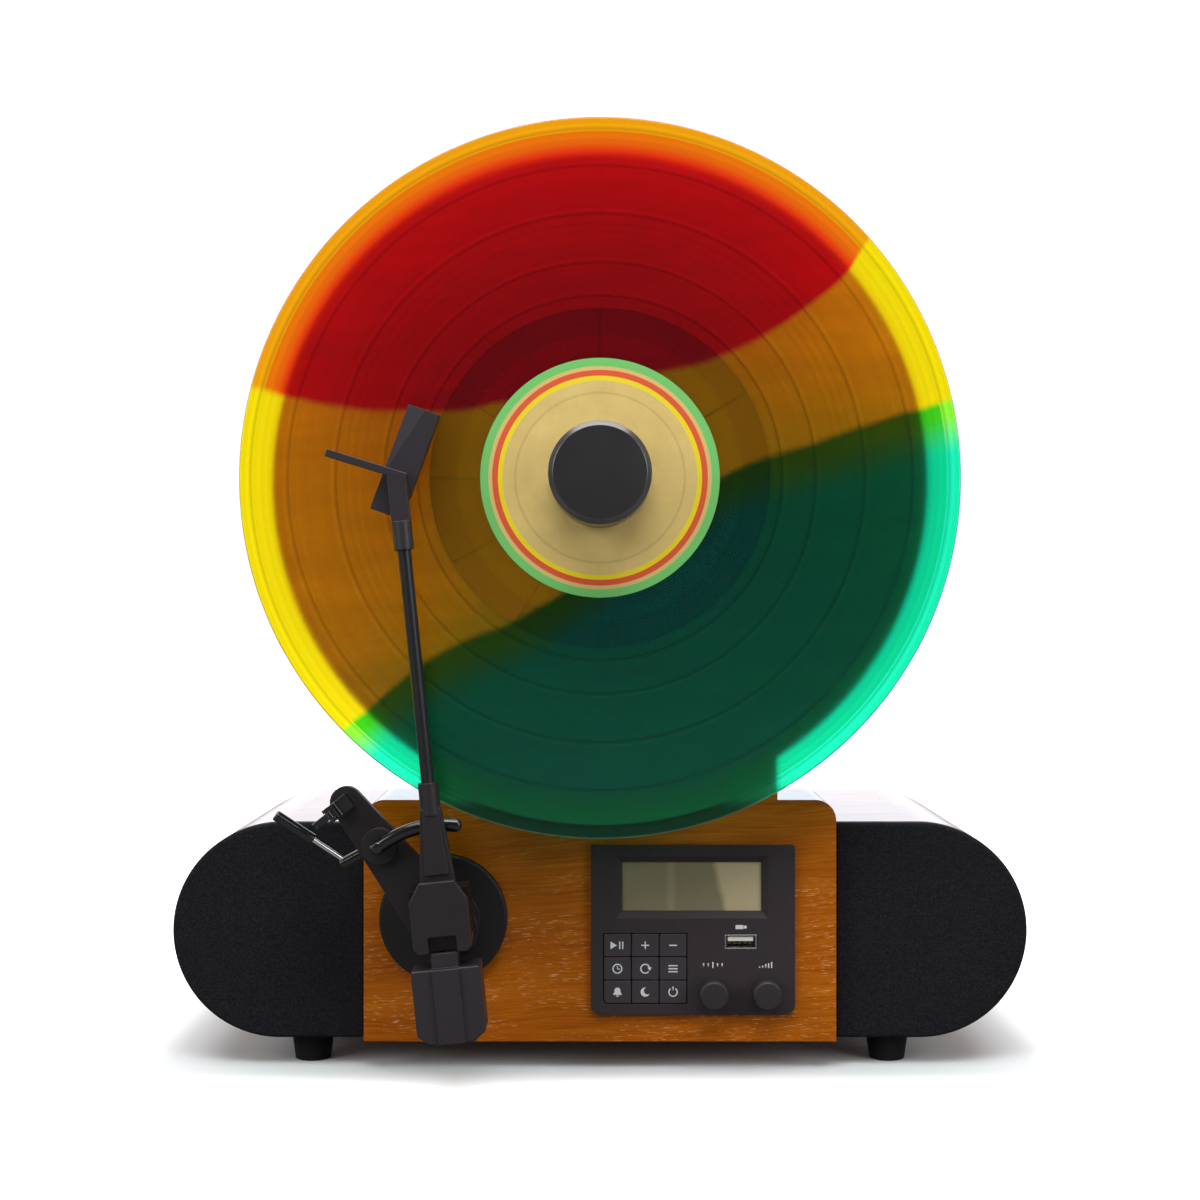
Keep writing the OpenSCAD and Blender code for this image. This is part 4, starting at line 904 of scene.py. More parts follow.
@dataclass(frozen=True)
class PressedVinyl(Finish):
    """Translucent vinyl pressed from three colours that meet in soft curved seams."""

    red: Stain = Stain((0.77, 0.005, 0.04), (0.80, 0.022, 0.004), (0.84, 0.185, 0.001),
                       (0.87, 0.37, 0.002))
    amber: Stain = Stain((0.95, 0.86, 0.004), (0.90, 0.68, 0.001), (0.90, 0.72, 0.001),
                         (0.91, 0.74, 0.001))
    olive: Stain = Stain((0.090, 0.40, 0.020), (0.045, 0.52, 0.008), (0.050, 0.64, 0.010),
                         (0.28, 0.94, 0.040))
    green: Stain = Stain((0.001, 0.48, 0.40), (0.001, 0.54, 0.30), (0.001, 0.67, 0.30),
                         (0.010, 0.87, 0.47))
    body_end: float = 131.5
    rim_start: float = 135.0
    fade_end: float = 143.5
    lip_start: float = 144.9
    lip_soft: float = 0.3
    # Where the painted edge glow starts, how soft its start is and how strong it is.
    edge_start: float = 150.2
    edge_soft: float = 0.2
    painted_edge_glow: float = 0.15
    glow_colour: Colour = (0.6, 0.8, 0.6)
    glow_share: float = 0.3
    upper_seam: Line = (
        (-150.0, 40.0), (-112.0, 30.0), (-80.0, 28.0), (-50.0, 30.0), (0.0, 39.0),
        (50.0, 51.0), (92.0, 75.5), (102.0, 84.5), (110.0, 96.0), (150.0, 148.0))
    lower_seam: Line = (
        (-150.0, -142.0), (-105.0, -103.0), (-71.0, -76.0), (-25.0, -54.0), (52.0, 1.0),
        (100.0, 18.0), (150.0, 34.0))
    reach: float = 160.0
    seam_soft: float = 2.2
    seam_scale: float = 0.05
    seam_wander: float = 5.0
    olive_start: float = 5.0
    olive_end: float = 24.0
    groove_scale: float = 0.55
    groove_contrast: float = 0.5
    track_gaps: tuple[float, ...] = (76.0, 90.0, 110.4, 130.4, 146.0)
    gap_core: float = 0.2
    gap_half: float = 0.8
    gap_shade: float = 0.76
    gap_light: float = 1.10
    run_out: Pair = (59.5, 60.0)
    run_out_shades: Pair = (1.12, 0.98)
    # Heights where the lip's painted shade starts and where it is full, low on the record.
    deep: Pair = (-132.0, -139.0)
    painted_lip_shade: float = 0.25
    gloss: Triple = (0.23, 0.06, 30.0)
    ior: float = 1.45
    clear: float = 0.97
    specular: float = 0.4

    def stained(self, graph: Graph, place: Socket, radius: Socket) -> Socket:
        """The vinyl's colour, by its place against the two seams and by its radius, with painted shade
        on the lip towards the bottom.

        Args:
            graph: the material's graph.
            place: the place from the record's middle.
            radius: the distance from the record's middle.

        Returns:
            The colour.
        """
        x, _, z = graph.split(place)
        level = graph.around(graph.noise(place, self.seam_scale, detail=3.0), self.seam_wander, z)
        over, under = (graph.math("SUBTRACT", level, graph.curve(x, seam, self.reach))
                       for seam in (self.upper_seam, self.lower_seam))
        rim = graph.span(radius, self.body_end, self.rim_start)
        fade = graph.span(radius, self.rim_start, self.fade_end)
        lip = graph.step(radius, self.lip_start, self.lip_soft)
        # Painted shade: the lip darkens towards the bottom of the record, where the board behind it lies
        # in shadow.
        depth = graph.span(z, *self.deep, 1.0, self.painted_lip_shade)
        red, amber, olive, green = (
            graph.mix(lip, graph.mix(fade, graph.mix(rim, stain.body, stain.near), stain.rim),
                      graph.tint(stain.lip, depth))
            for stain in (self.red, self.amber, self.olive, self.green))
        lower = graph.mix(graph.span(under, -self.olive_start, -self.olive_end), olive, green)
        upper = graph.mix(graph.step(over, 0.0, self.seam_soft), amber, red)
        return graph.mix(graph.step(under, 0.0, self.seam_soft), lower, upper)

    def ringed(self, graph: Graph, radius: Socket) -> Socket:
        """The shade by radius: painted sheen over the grooves, a lighter run-out, and at each gap
        between tracks a darker line with a painted highlight beside it.

        Args:
            graph: the material's graph.
            radius: the distance from the record's middle.

        Returns:
            The shade, around one.
        """
        along = graph.add("CombineXYZ", {0: radius}).outputs[0]
        # Painted sheen: rings of lighter and darker vinyl over the grooves.
        groove = graph.noise(along, self.groove_scale, detail=4.0, roughness=0.7)
        shade = graph.around(groove, self.groove_contrast,
                             graph.span(radius, *self.run_out, *self.run_out_shades))
        # At each gap a darker line, and beside it a lighter line that is a painted highlight.
        for gap in self.track_gaps:
            for at, change in ((gap, self.gap_shade), (gap + 2 * self.gap_half, self.gap_light)):
                line = graph.span(graph.away(radius, at), self.gap_core, self.gap_half, change, 1.0)
                shade = graph.math("MULTIPLY", shade, line)
        return shade

    def paint(self, graph: Graph) -> dict[str, Any]:
        """Colours and rings the vinyl, and paints a faint glow at its edge.

        The glow is emission, painted in for light that runs along inside the vinyl and comes out at its
        edge.

        Args:
            graph: the material's graph.

        Returns:
            The shader's inputs by name.
        """
        place = graph.place(origin=SPINDLE)
        radius = graph.radius(place)
        colour = self.stained(graph, place, radius)
        # Painted glow: emission at the edge of the record.
        edge = graph.step(radius, self.edge_start, self.edge_soft, 0.0, self.painted_edge_glow)
        glow = graph.mix(self.glow_share, colour, self.glow_colour)
        return {
            "Base Color": graph.tint(colour, self.ringed(graph, radius)),
            "Roughness": self.handled(graph, *self.gloss),
            "IOR": self.ior,
            "Transmission Weight": self.clear,
            "Specular IOR Level": self.specular,
            "Emission Color": graph.tint(glow, edge),
            "Emission Strength": 1.0,
        }


@dataclass(frozen=True)
class RingPrint(Finish):
    """A paper label printed with plain rings about its middle."""

    rings: tuple[tuple[float, Colour], ...] = (
        (40.6, (0.97, 0.77, 0.018)), (42.6, (0.83, 0.115, 0.042)), (45.0, (0.78, 0.575, 0.20)),
        (46.6, (0.195, 0.63, 0.165)))
    ring_soft: float = 0.12
    paper: Colour = (0.78, 0.575, 0.20)
    mottle_scale: float = 0.09
    mottle_contrast: float = 0.3
    mottle_span: Pair = (0.3, 0.7)
    grain: float = 0.35
    contrast: float = 0.25
    pressed: float = 35.4
    pressed_span: Pair = (0.2, 0.8)
    pressed_shade: float = 0.86
    roughness: Pair = (0.42, 0.56)
    specular: float = 0.35
    depth: float = 0.01
    bump: float = 0.4

    def paint(self, graph: Graph) -> dict[str, Any]:
        """Steps through the ring colours by radius, over a faintly mottled paper.

        Args:
            graph: the material's graph.

        Returns:
            The shader's inputs by name.
        """
        place = graph.place(origin=SPINDLE)
        radius = graph.radius(place)
        mottle = graph.noise(place, self.mottle_scale, detail=4.0, roughness=0.6)
        colour = graph.tint(self.paper, graph.around(mottle, self.mottle_contrast, 1.0))
        for start, paint in self.rings:
            colour = graph.mix(graph.step(radius, start, self.ring_soft), colour, paint)
        fine, height = self.speckle(graph, self.grain, self.contrast)
        line = graph.span(graph.away(radius, self.pressed), *self.pressed_span,
                          self.pressed_shade, 1.0)
        return {
            "Base Color": graph.tint(colour, graph.math("MULTIPLY", fine, line)),
            "Roughness": graph.span(mottle, *self.mottle_span, *self.roughness),
            "Specular IOR Level": self.specular,
            "Normal": graph.bump(height, self.depth, self.bump),
        }


@dataclass(frozen=True)
class WorkedMetal(Finish):
    """Bare or anodised metal with fine marks from the tool that worked it."""

    colour: Colour = (0.60, 0.60, 0.61)
    roughness: float = 0.28
    marks: Triple = (0.15, 3.0, 3.0)
    contrast: float = 0.25
    metallic: float = 1.0
    edge: float = 0.25
    spread: float = 0.18
    depth: float = 0.006
    bump: float = 0.5

    def paint(self, graph: Graph) -> dict[str, Any]:
        """Varies colour and gloss along stretched marks.

        Args:
            graph: the material's graph.

        Returns:
            The shader's inputs by name.
        """
        mark = graph.noise(graph.place(self.marks), 1.0, detail=3.0, roughness=0.6)
        edge_normal_and_highlight = self.eased(graph, self.edge)
        return {
            "Base Color": graph.tint(self.colour, graph.around(mark, self.contrast, 1.0)),
            "Metallic": self.metallic,
            "Roughness": graph.around(mark, self.spread, self.roughness),
            "Normal": graph.bump(mark, self.depth, self.bump, edge_normal_and_highlight["Normal"]),
        }


@dataclass(frozen=True)
class CrystalPanel(Finish):
    """A blank liquid-crystal display behind a clear window, made paler to one side by a painted
    reflection.
    """

    low: Colour = (0.235, 0.198, 0.114)
    # The paler tone is a painted reflection on the window.
    high: Colour = (0.520, 0.415, 0.248)
    middle: Triple = (39.7, 0.0, 79.9)
    lean: float = 0.20
    seam: Pair = (13.0, 17.0)
    cloud_scale: float = 0.06
    cloud_bend: float = 5.0
    cloud_contrast: float = 0.16
    row_pitch: float = 0.6
    row_contrast: float = 0.02
    # The glint is a painted highlight: an upright band of lighter colour, with its place, half width and
    # strength.
    glint_at: float = -9.0
    glint_half: float = 3.4
    glint_light: float = 0.26
    gloss: Triple = (0.14, 0.08, 15.0)
    specular: float = 0.3
    coat: float = 0.3
    coat_roughness: float = 0.05

    def paint(self, graph: Graph) -> dict[str, Any]:
        """Mixes the display's tone and a painted reflection across a leaning seam, with a painted
        upright glint and faint rows.

        Args:
            graph: the material's graph.

        Returns:
            The shader's inputs by name.
        """
        place = graph.place(origin=self.middle)
        x, _, z = graph.split(place)
        cloud = graph.noise(place, self.cloud_scale, detail=3.0)
        across = graph.math("MULTIPLY_ADD", cloud, self.cloud_bend,
                            graph.math("MULTIPLY_ADD", z, self.lean, x))
        # Painted reflection: the paler tone past the leaning seam.
        colour = graph.mix(graph.span(across, *self.seam), self.low, self.high)
        shade = graph.math("MULTIPLY_ADD", graph.wave(z, self.row_pitch), self.row_contrast,
                           graph.around(cloud, self.cloud_contrast, 1.0))
        # Painted glint: the colour is lightened in an upright band.
        painted_glint = graph.span(graph.away(x, self.glint_at), self.glint_half, 0.0, 0.0, self.glint_light)
        return {
            "Base Color": graph.tint(colour, graph.math("ADD", shade, painted_glint)),
            "Roughness": self.handled(graph, *self.gloss),
            "Specular IOR Level": self.specular,
            "Coat Weight": self.coat,
            "Coat Roughness": self.coat_roughness,
        }


@dataclass(frozen=True)
class SolderMask(Finish):
    """A green circuit board with level and upright copper tracks under its lacquer."""

    board: Colour = (0.010, 0.075, 0.026)
    track: Colour = (0.030, 0.165, 0.060)
    blocks: Triple = (0.22, 0.22, 0.30)
    border: float = 0.42
    border_span: Pair = (0.08, 0.05)
    grain: float = 0.8
    contrast: float = 0.3
    roughness: Pair = (0.42, 0.3)
    depth: float = 0.03
    bump: float = 0.6

    def paint(self, graph: Graph) -> dict[str, Any]:
        """Draws tracks where a cell pattern of flat blocks has its borders.

        Args:
            graph: the material's graph.

        Returns:
            The shader's inputs by name.
        """
        edge = graph.add("TexVoronoi", {"Vector": graph.place(self.blocks), "Scale": 1.0},
                         distance="CHEBYCHEV", feature="F1").outputs["Distance"]
        line = graph.span(graph.away(edge, self.border), *self.border_span)
        shade, _ = self.speckle(graph, self.grain, self.contrast)
        return {
            "Base Color": graph.tint(graph.mix(line, self.board, self.track), shade),
            "Roughness": graph.span(line, 0.0, 1.0, *self.roughness),
            "Normal": graph.bump(line, self.depth, self.bump),
        }


@dataclass(frozen=True)
class Fibreboard(Finish):
    """Bare fibreboard: short pressed fibres in two browns."""

    low: Colour = (0.16, 0.10, 0.055)
    high: Colour = (0.33, 0.225, 0.13)
    scale: float = 0.5
    span: Pair = (0.2, 0.8)
    grain: float = 0.6
    contrast: float = 0.6
    roughness: Pair = (0.75, 0.9)
    depth: float = 0.1
    bump: float = 0.5

    def paint(self, graph: Graph) -> dict[str, Any]:
        """Mixes the two browns by a coarse and a fine noise.

        Args:
            graph: the material's graph.

        Returns:
            The shader's inputs by name.
        """
        coarse = graph.noise(graph.place(), self.scale, detail=5.0, roughness=0.7)
        shade, height = self.speckle(graph, self.grain, self.contrast)
        return {
            "Base Color": graph.tint(graph.mix(coarse, self.low, self.high), shade),
            "Roughness": graph.span(coarse, *self.span, *self.roughness),
            "Normal": graph.bump(height, self.depth, self.bump),
        }


@dataclass(frozen=True)
class StageFloor(Finish):
    """A pale floor: white where it is seen, and greyer where it only throws light back."""

    seen: Colour = (0.86, 0.89, 0.905)
    unseen: Colour = (0.16, 0.16, 0.16)
    footprint: Triple = (187.0, 32.0, 73.0)
    fade: float = 48.0
    glow_behind: float = 0.34
    roughness: float = 0.8
    specular: float = 0.1

    def paint(self, graph: Graph) -> dict[str, Any]:
        """Glows softly away from the player, so that it runs into the room without a line.

        Args:
            graph: the material's graph.

        Returns:
            The shader's inputs by name.
        """
        rays = graph.add("LightPath").outputs
        seen = graph.math("MAXIMUM", rays["Is Camera Ray"], rays["Is Transmission Ray"])
        x, y, _ = graph.split(graph.place())
        half_x, middle_y, half_y = self.footprint
        beside, before = (
            graph.math("MAXIMUM", graph.math("SUBTRACT", graph.away(part, middle), half), 0.0)
            for part, middle, half in ((x, 0.0, half_x), (y, middle_y, half_y)))
        away = graph.math("POWER", graph.math("MULTIPLY_ADD", beside, beside,
                                              graph.math("MULTIPLY", before, before)), 0.5)
        strength = graph.math("MULTIPLY_ADD", rays["Is Transmission Ray"], -self.glow_behind, 1.0)
        glow = graph.math("MULTIPLY", graph.span(away, 0.0, self.fade),
                          graph.math("MULTIPLY", seen, strength))
        return {
            "Base Color": graph.mix(seen, self.unseen, self.seen),
            "Emission Color": graph.grey(glow),
            "Emission Strength": 1.0,
            "Roughness": self.roughness,
            "Specular IOR Level": self.specular,
        }


@dataclass(frozen=True)
class Finishes:
    """Every finish of the player and its floor."""

    plastic: Finish = Moulded("black_plastic", (0.0128, 0.0100, 0.0108))
    panel: Finish = Moulded("panel_plastic", (0.045, 0.0365, 0.0395), edge_light=1.2, specular=0.14)
    knob: Finish = Moulded("knob_plastic", (0.028, 0.0235, 0.0258), edge_light=4.5)
    key: Finish = Moulded("key_plastic", (0.049, 0.0415, 0.0480), edge=0.2, edge_light=0.6,
                          specular=0.3)
    arm: Finish = Moulded("arm_plastic", (0.029, 0.0235, 0.0285), roughness=0.42, edge=0.3)
    cap: Finish = Moulded("cap_plastic", (0.0185, 0.0148, 0.0165), roughness=0.46, edge=0.3,
                          edge_light=4.0)
    mount: Finish = Moulded("mount_plastic", (0.0132, 0.0104, 0.0112), edge=0.4, edge_light=6.0)
    yoke: Finish = Moulded("yoke_plastic", (0.0085, 0.0075, 0.0085), edge_light=1.0, specular=0.15)
    gloss: Finish = Moulded("gloss_black", (0.008, 0.008, 0.009), roughness=0.15, grain=1.2,
                            contrast=0.2, depth=0.003, edge=0.3, ior=1.75)
    paint: Finish = Moulded("black_paint", (0.022, 0.021, 0.025), roughness=0.4, grain=0.8)
    rubber: Finish = Moulded("rubber", (0.012, 0.012, 0.013), roughness=0.75, grain=0.9,
                             contrast=0.7, depth=0.03, edge_light=0.3, specular=0.3)
    cone: Finish = Moulded("cone_paper", (0.02, 0.02, 0.021), roughness=0.85, grain=1.6,
                           contrast=0.9, depth=0.06, edge_light=0.2, specular=0.25)
    mat: Finish = Moulded("platter_mat", (0.155, 0.018, 0.012), roughness=0.8, grain=0.9,
                          depth=0.03, edge_light=0.2, specular=0.2)
    magnet: Finish = Moulded("ferrite", (0.055, 0.055, 0.06), roughness=0.7, grain=1.1,
                             depth=0.04, edge_light=0.3)
    stylus: Finish = Moulded("stylus_red", (0.42, 0.02, 0.014), roughness=0.3, grain=0.6,
                             contrast=0.2, edge_light=0.3)
    ivory: Finish = Moulded("white_tongue", (0.80, 0.78, 0.72), roughness=0.4, grain=0.4,
                            contrast=0.1, edge_light=0.1)
    ink: Finish = Moulded("white_ink", (0.74, 0.74, 0.76), roughness=0.6, grain=0.25,
                          contrast=0.25, edge=0.02, edge_light=0.0)
    clamp: Finish = Moulded("clamp_black", (0.0065, 0.0042, 0.0052), roughness=0.3,
                            contrast=0.4, edge_light=0.6, ior=2.6)
    well: Finish = Moulded("slot_well", (0.50, 0.38, 0.17), roughness=0.4, edge_light=0.1)
    steel: Finish = WorkedMetal("steel")
    chrome: Finish = WorkedMetal("chrome", (0.86, 0.86, 0.88), roughness=0.12, contrast=0.08)
    brass: Finish = WorkedMetal("brass", (0.70, 0.50, 0.20), roughness=0.25)
    anodised: Finish = WorkedMetal("black_anodised", (0.030, 0.030, 0.034), roughness=0.34,
                                   metallic=0.55)
    wood: Finish = Veneer("veneer")
    bent: Finish = Veneer("bent_veneer", rise=0.03, sway=14.0)
    cloth: Finish = SpeakerCloth("speaker_cloth")
    vinyl: PressedVinyl = PressedVinyl("pressed_vinyl")
    label: Finish = RingPrint("label_print")
    window: Finish = CrystalPanel("crystal_panel")
    circuit: Finish = SolderMask("solder_mask")
    fibre: Finish = Fibreboard("fibreboard")
    floor: Finish = StageFloor("floor")


FINISH = Finishes()


# Pieces on the frame


class Site:
    """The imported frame, read as places in millimetres."""

    def __init__(self, frame: Mapping[str, Any]) -> None:
        """Keeps the frame and reads the plane of the front board.

        Args:
            frame: the loaded frame.
        """
        self.nodes = frame["nodes"]
        self.joints = {joint["name"]: joint for joint in frame["joints"]}
        self.board = self.box("tower_board")[0][1]

    def box(self, node: str) -> tuple[Array, Array]:
        """The lowest and highest corners of a node."""
        low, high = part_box(node)
        return np.array(low) / MM, np.array(high) / MM

    def on_board(self, x: float, z: float) -> Bench:
        """A bench on the front board: across to the right, along upwards, out to the front."""
        axes = np.array([[1.0, 0.0, 0.0], [0.0, 0.0, 1.0], [0.0, -1.0, 0.0]])
        return Bench(np.array([x, self.board, z]), axes)

    def at_joint(self, name: str) -> Bench:
        """The bench on the front board at a joint's place."""
        x, _, z = np.array(self.joints[name]["pos_m"]) / MM
        return self.on_board(float(x), float(z))

    def lean(self, joint: str, upright: bool) -> float:
        """The lean of a joint's axis in the board's plane, in degrees, from upright or level."""
        x, _, z = self.joints[joint]["axis"]
        return math.degrees(math.atan2(-x, z) if upright else math.atan2(z, x))

    def add(self, name: str, shell: Shell, bench: Bench, finish: Finish, body: str,
            slot: str | None = None, replaced: Sequence[str] = (),
            facets: bool = False) -> bpy.types.Object:
        """Adds a piece to the scene.

        Args:
            name: the piece's name.
            shell: its surface, on the bench.
            bench: where it is.
            finish: its look.
            body: the body that it rides on.
            slot: the record's material slot, if it has one; not used.
            replaced: the nodes that it stands for.
            facets: whether its faces stay flat in the light.

        Returns:
            The piece.
        """
        mesh = bpy.data.meshes.new(name)
        mesh.from_pydata(bench.place(shell.points).tolist(), [], shell.faces)
        mesh.materials.append(finish.material())
        piece = bpy.data.objects.new(name, mesh)
        bpy.context.scene.collection.objects.link(piece)
        if not facets:
            mesh.shade_smooth()
            normals = piece.modifiers.new("even_light", "WEIGHTED_NORMAL")
            normals.mode, normals.weight = "FACE_AREA", 100
        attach(piece, body)
        if replaced:
            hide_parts(*replaced)
        LOG.info("%s rides on %s", name, body)
        return piece

    def dress(self, finish: Finish, *nodes: str) -> None:
        """Gives a finish to nodes that keep their own shape.

        Args:
            finish: their look.
            nodes: the nodes' names.
        """
        for node in nodes:
            mesh = self.nodes[node].data
            mesh.materials.clear()
            mesh.materials.append(finish.material())
            LOG.info("%s is dressed", node)


class Side(Enum):
    """The two ends of the cabinet."""

    LEFT = -1
    RIGHT = 1


@dataclass
class Cabinet:
    """The speaker cabinet: its wood, its two cloth-covered grilles and its feet."""

    site: Site
    cloth_t: float = 0.5
    rim: float = 4.5
    pocket: float = 4.0
    front_round: float = 1.7
    round_points: int = 7
    corner: float = 2.0
    end_points: int = 97
    foot_x: float = 128.0
    foot_top_r: float = 9.5
    foot_bottom_r: float = 7.75
    foot_hollow: Triple = (2.5, 2.0, 0.6)
    foot_land: float = 3.0
    foot_ease: float = 0.5
    foot_points: int = 64

    def outline(self, side: Side) -> tuple[Array, Bench, float]:
        """The grille's outline: an upright edge, two level ones and half a circle.

        Args:
            side: the end of the cabinet.

        Returns:
            The counter-clockwise outline, the bench at its back, and its thickness.
        """
        low, high = self.site.box(side.name.lower() + "_grille")
        r = (high[2] - low[2]) / 2
        inner, outer = (low[0], high[0]) if side is Side.RIGHT else (-high[0], -low[0])
        half = np.linspace(-QUARTER_TURN, QUARTER_TURN, self.end_points)
        end = np.stack([outer - r + r * np.cos(half), r * np.sin(half)], axis=1)
        square = filleted([(inner, r), (inner, -r), (outer, -r), (outer, r)], self.corner)
        steps = len(square) // 4
        line = np.concatenate([square[:2 * steps], end])
        if side is Side.LEFT:
            line = (line * [-1.0, 1.0])[::-1]
        bench = Bench(np.array([0.0, high[1], (low[2] + high[2]) / 2]),
                      self.site.on_board(0.0, 0.0).axes)
        return line, bench, high[1] - low[1]

    def build_grille(self, side: Side) -> None:
        """Makes the grille's frame and the cloth that is stretched over its front and sides.

        Args:
            side: the end of the cabinet.
        """
        name = side.name.lower() + "_grille"
        line, bench, thick = self.outline(side)
        skinned = drawn_in(line, self.cloth_t)
        turn = np.linspace(0.0, QUARTER_TURN, self.round_points)
        short = self.front_round * (1 - np.sin(turn))
        draw = np.concatenate([[0.0], self.front_round * (1 - np.cos(turn))])
        rise = np.concatenate([[0.0], thick - short])
        within = np.concatenate([[0.0], thick - short - self.cloth_t])
        core = stack(skinned, np.concatenate([[self.rim, self.rim], draw]),
                     np.concatenate([[self.pocket, 0.0], within]))
        self.site.add(name + "_frame", core, bench, FINISH.plastic, "base", "black_plastic", [name])
        cloth = self.wrapped(stack(line, draw, rise), stack(skinned, draw, within), len(line),
                             len(draw))
        piece = self.site.add(name + "_cloth", cloth, bench, FINISH.cloth, "base", "cloth", [name])
        around = float(np.linalg.norm(np.roll(line, -1, axis=0) - line, axis=1).sum())

    @staticmethod
    def wrapped(outside: Shell, inside: Shell, around: int, rows: int) -> Shell:
        """Joins a cloth's two faces along its hem.

        Args:
            outside: the outer face, with a cap at both ends.
            inside: the inner face, alike.
            around: points in a row.
            rows: rows of points.

        Returns:
            The cloth as one shell, open at the back.
        """
        count = around * rows
        inner = [[n + count for n in face[::-1]] for face in inside.faces[:-2] + inside.faces[-1:]]
        on = np.arange(around)
        after = (on + 1) % around
        hem = np.stack([after, on, on + count, after + count], axis=1).tolist()
        faces = outside.faces[:-2] + outside.faces[-1:] + inner + hem
        return Shell(np.concatenate([outside.points, inside.points]), faces)

    def build_feet(self) -> None:
        """Turns the four tapered feet, with eased rims and a shallow hollow underneath."""
        low, high = self.site.box("feet")
        r, top, height = self.foot_bottom_r, self.foot_top_r, high[2]
        inner, outer, deep = self.foot_hollow
        line = filleted([(r - inner, deep), (r - outer, 0.0), (r, 0.0), (top, height),
                         (top - self.foot_land, height)], self.foot_ease, closed=False)
        foot = lathe(line, self.foot_points)
        bench = Bench.world()
        places = [bench.at(side.value * self.foot_x, y)
                  for side in Side
                  for y in (low[1] + top, high[1] - top)]
        feet = Shell.joined(*(foot.moved(place, bench) for place in places))
        self.site.add("rubber_feet", feet, bench, FINISH.rubber, "base", "rubber", ["feet"])

    def build(self) -> None:
        """Builds the grilles and feet and dresses the wood and what is inside."""
        for side in Side:
            self.build_grille(side)
        self.build_feet()
        self.site.dress(FINISH.wood, "tower_board")
        self.site.dress(FINISH.bent, "cabinet_shell", "tower_shell")
        self.site.dress(FINISH.plastic, "rear_panel", "tower_back_cover")
        self.site.dress(FINISH.fibre, "speaker_baffles", "rear_cleats")
        self.site.dress(FINISH.paint, "driver_frames")
        self.site.dress(FINISH.cone, "driver_cones")
        self.site.dress(FINISH.magnet, "driver_magnets")
        self.site.dress(FINISH.steel, "screws", "line_out_jacks")
        self.site.dress(FINISH.gloss, "power_inlet")
        self.site.dress(FINISH.circuit, "circuit_boards")


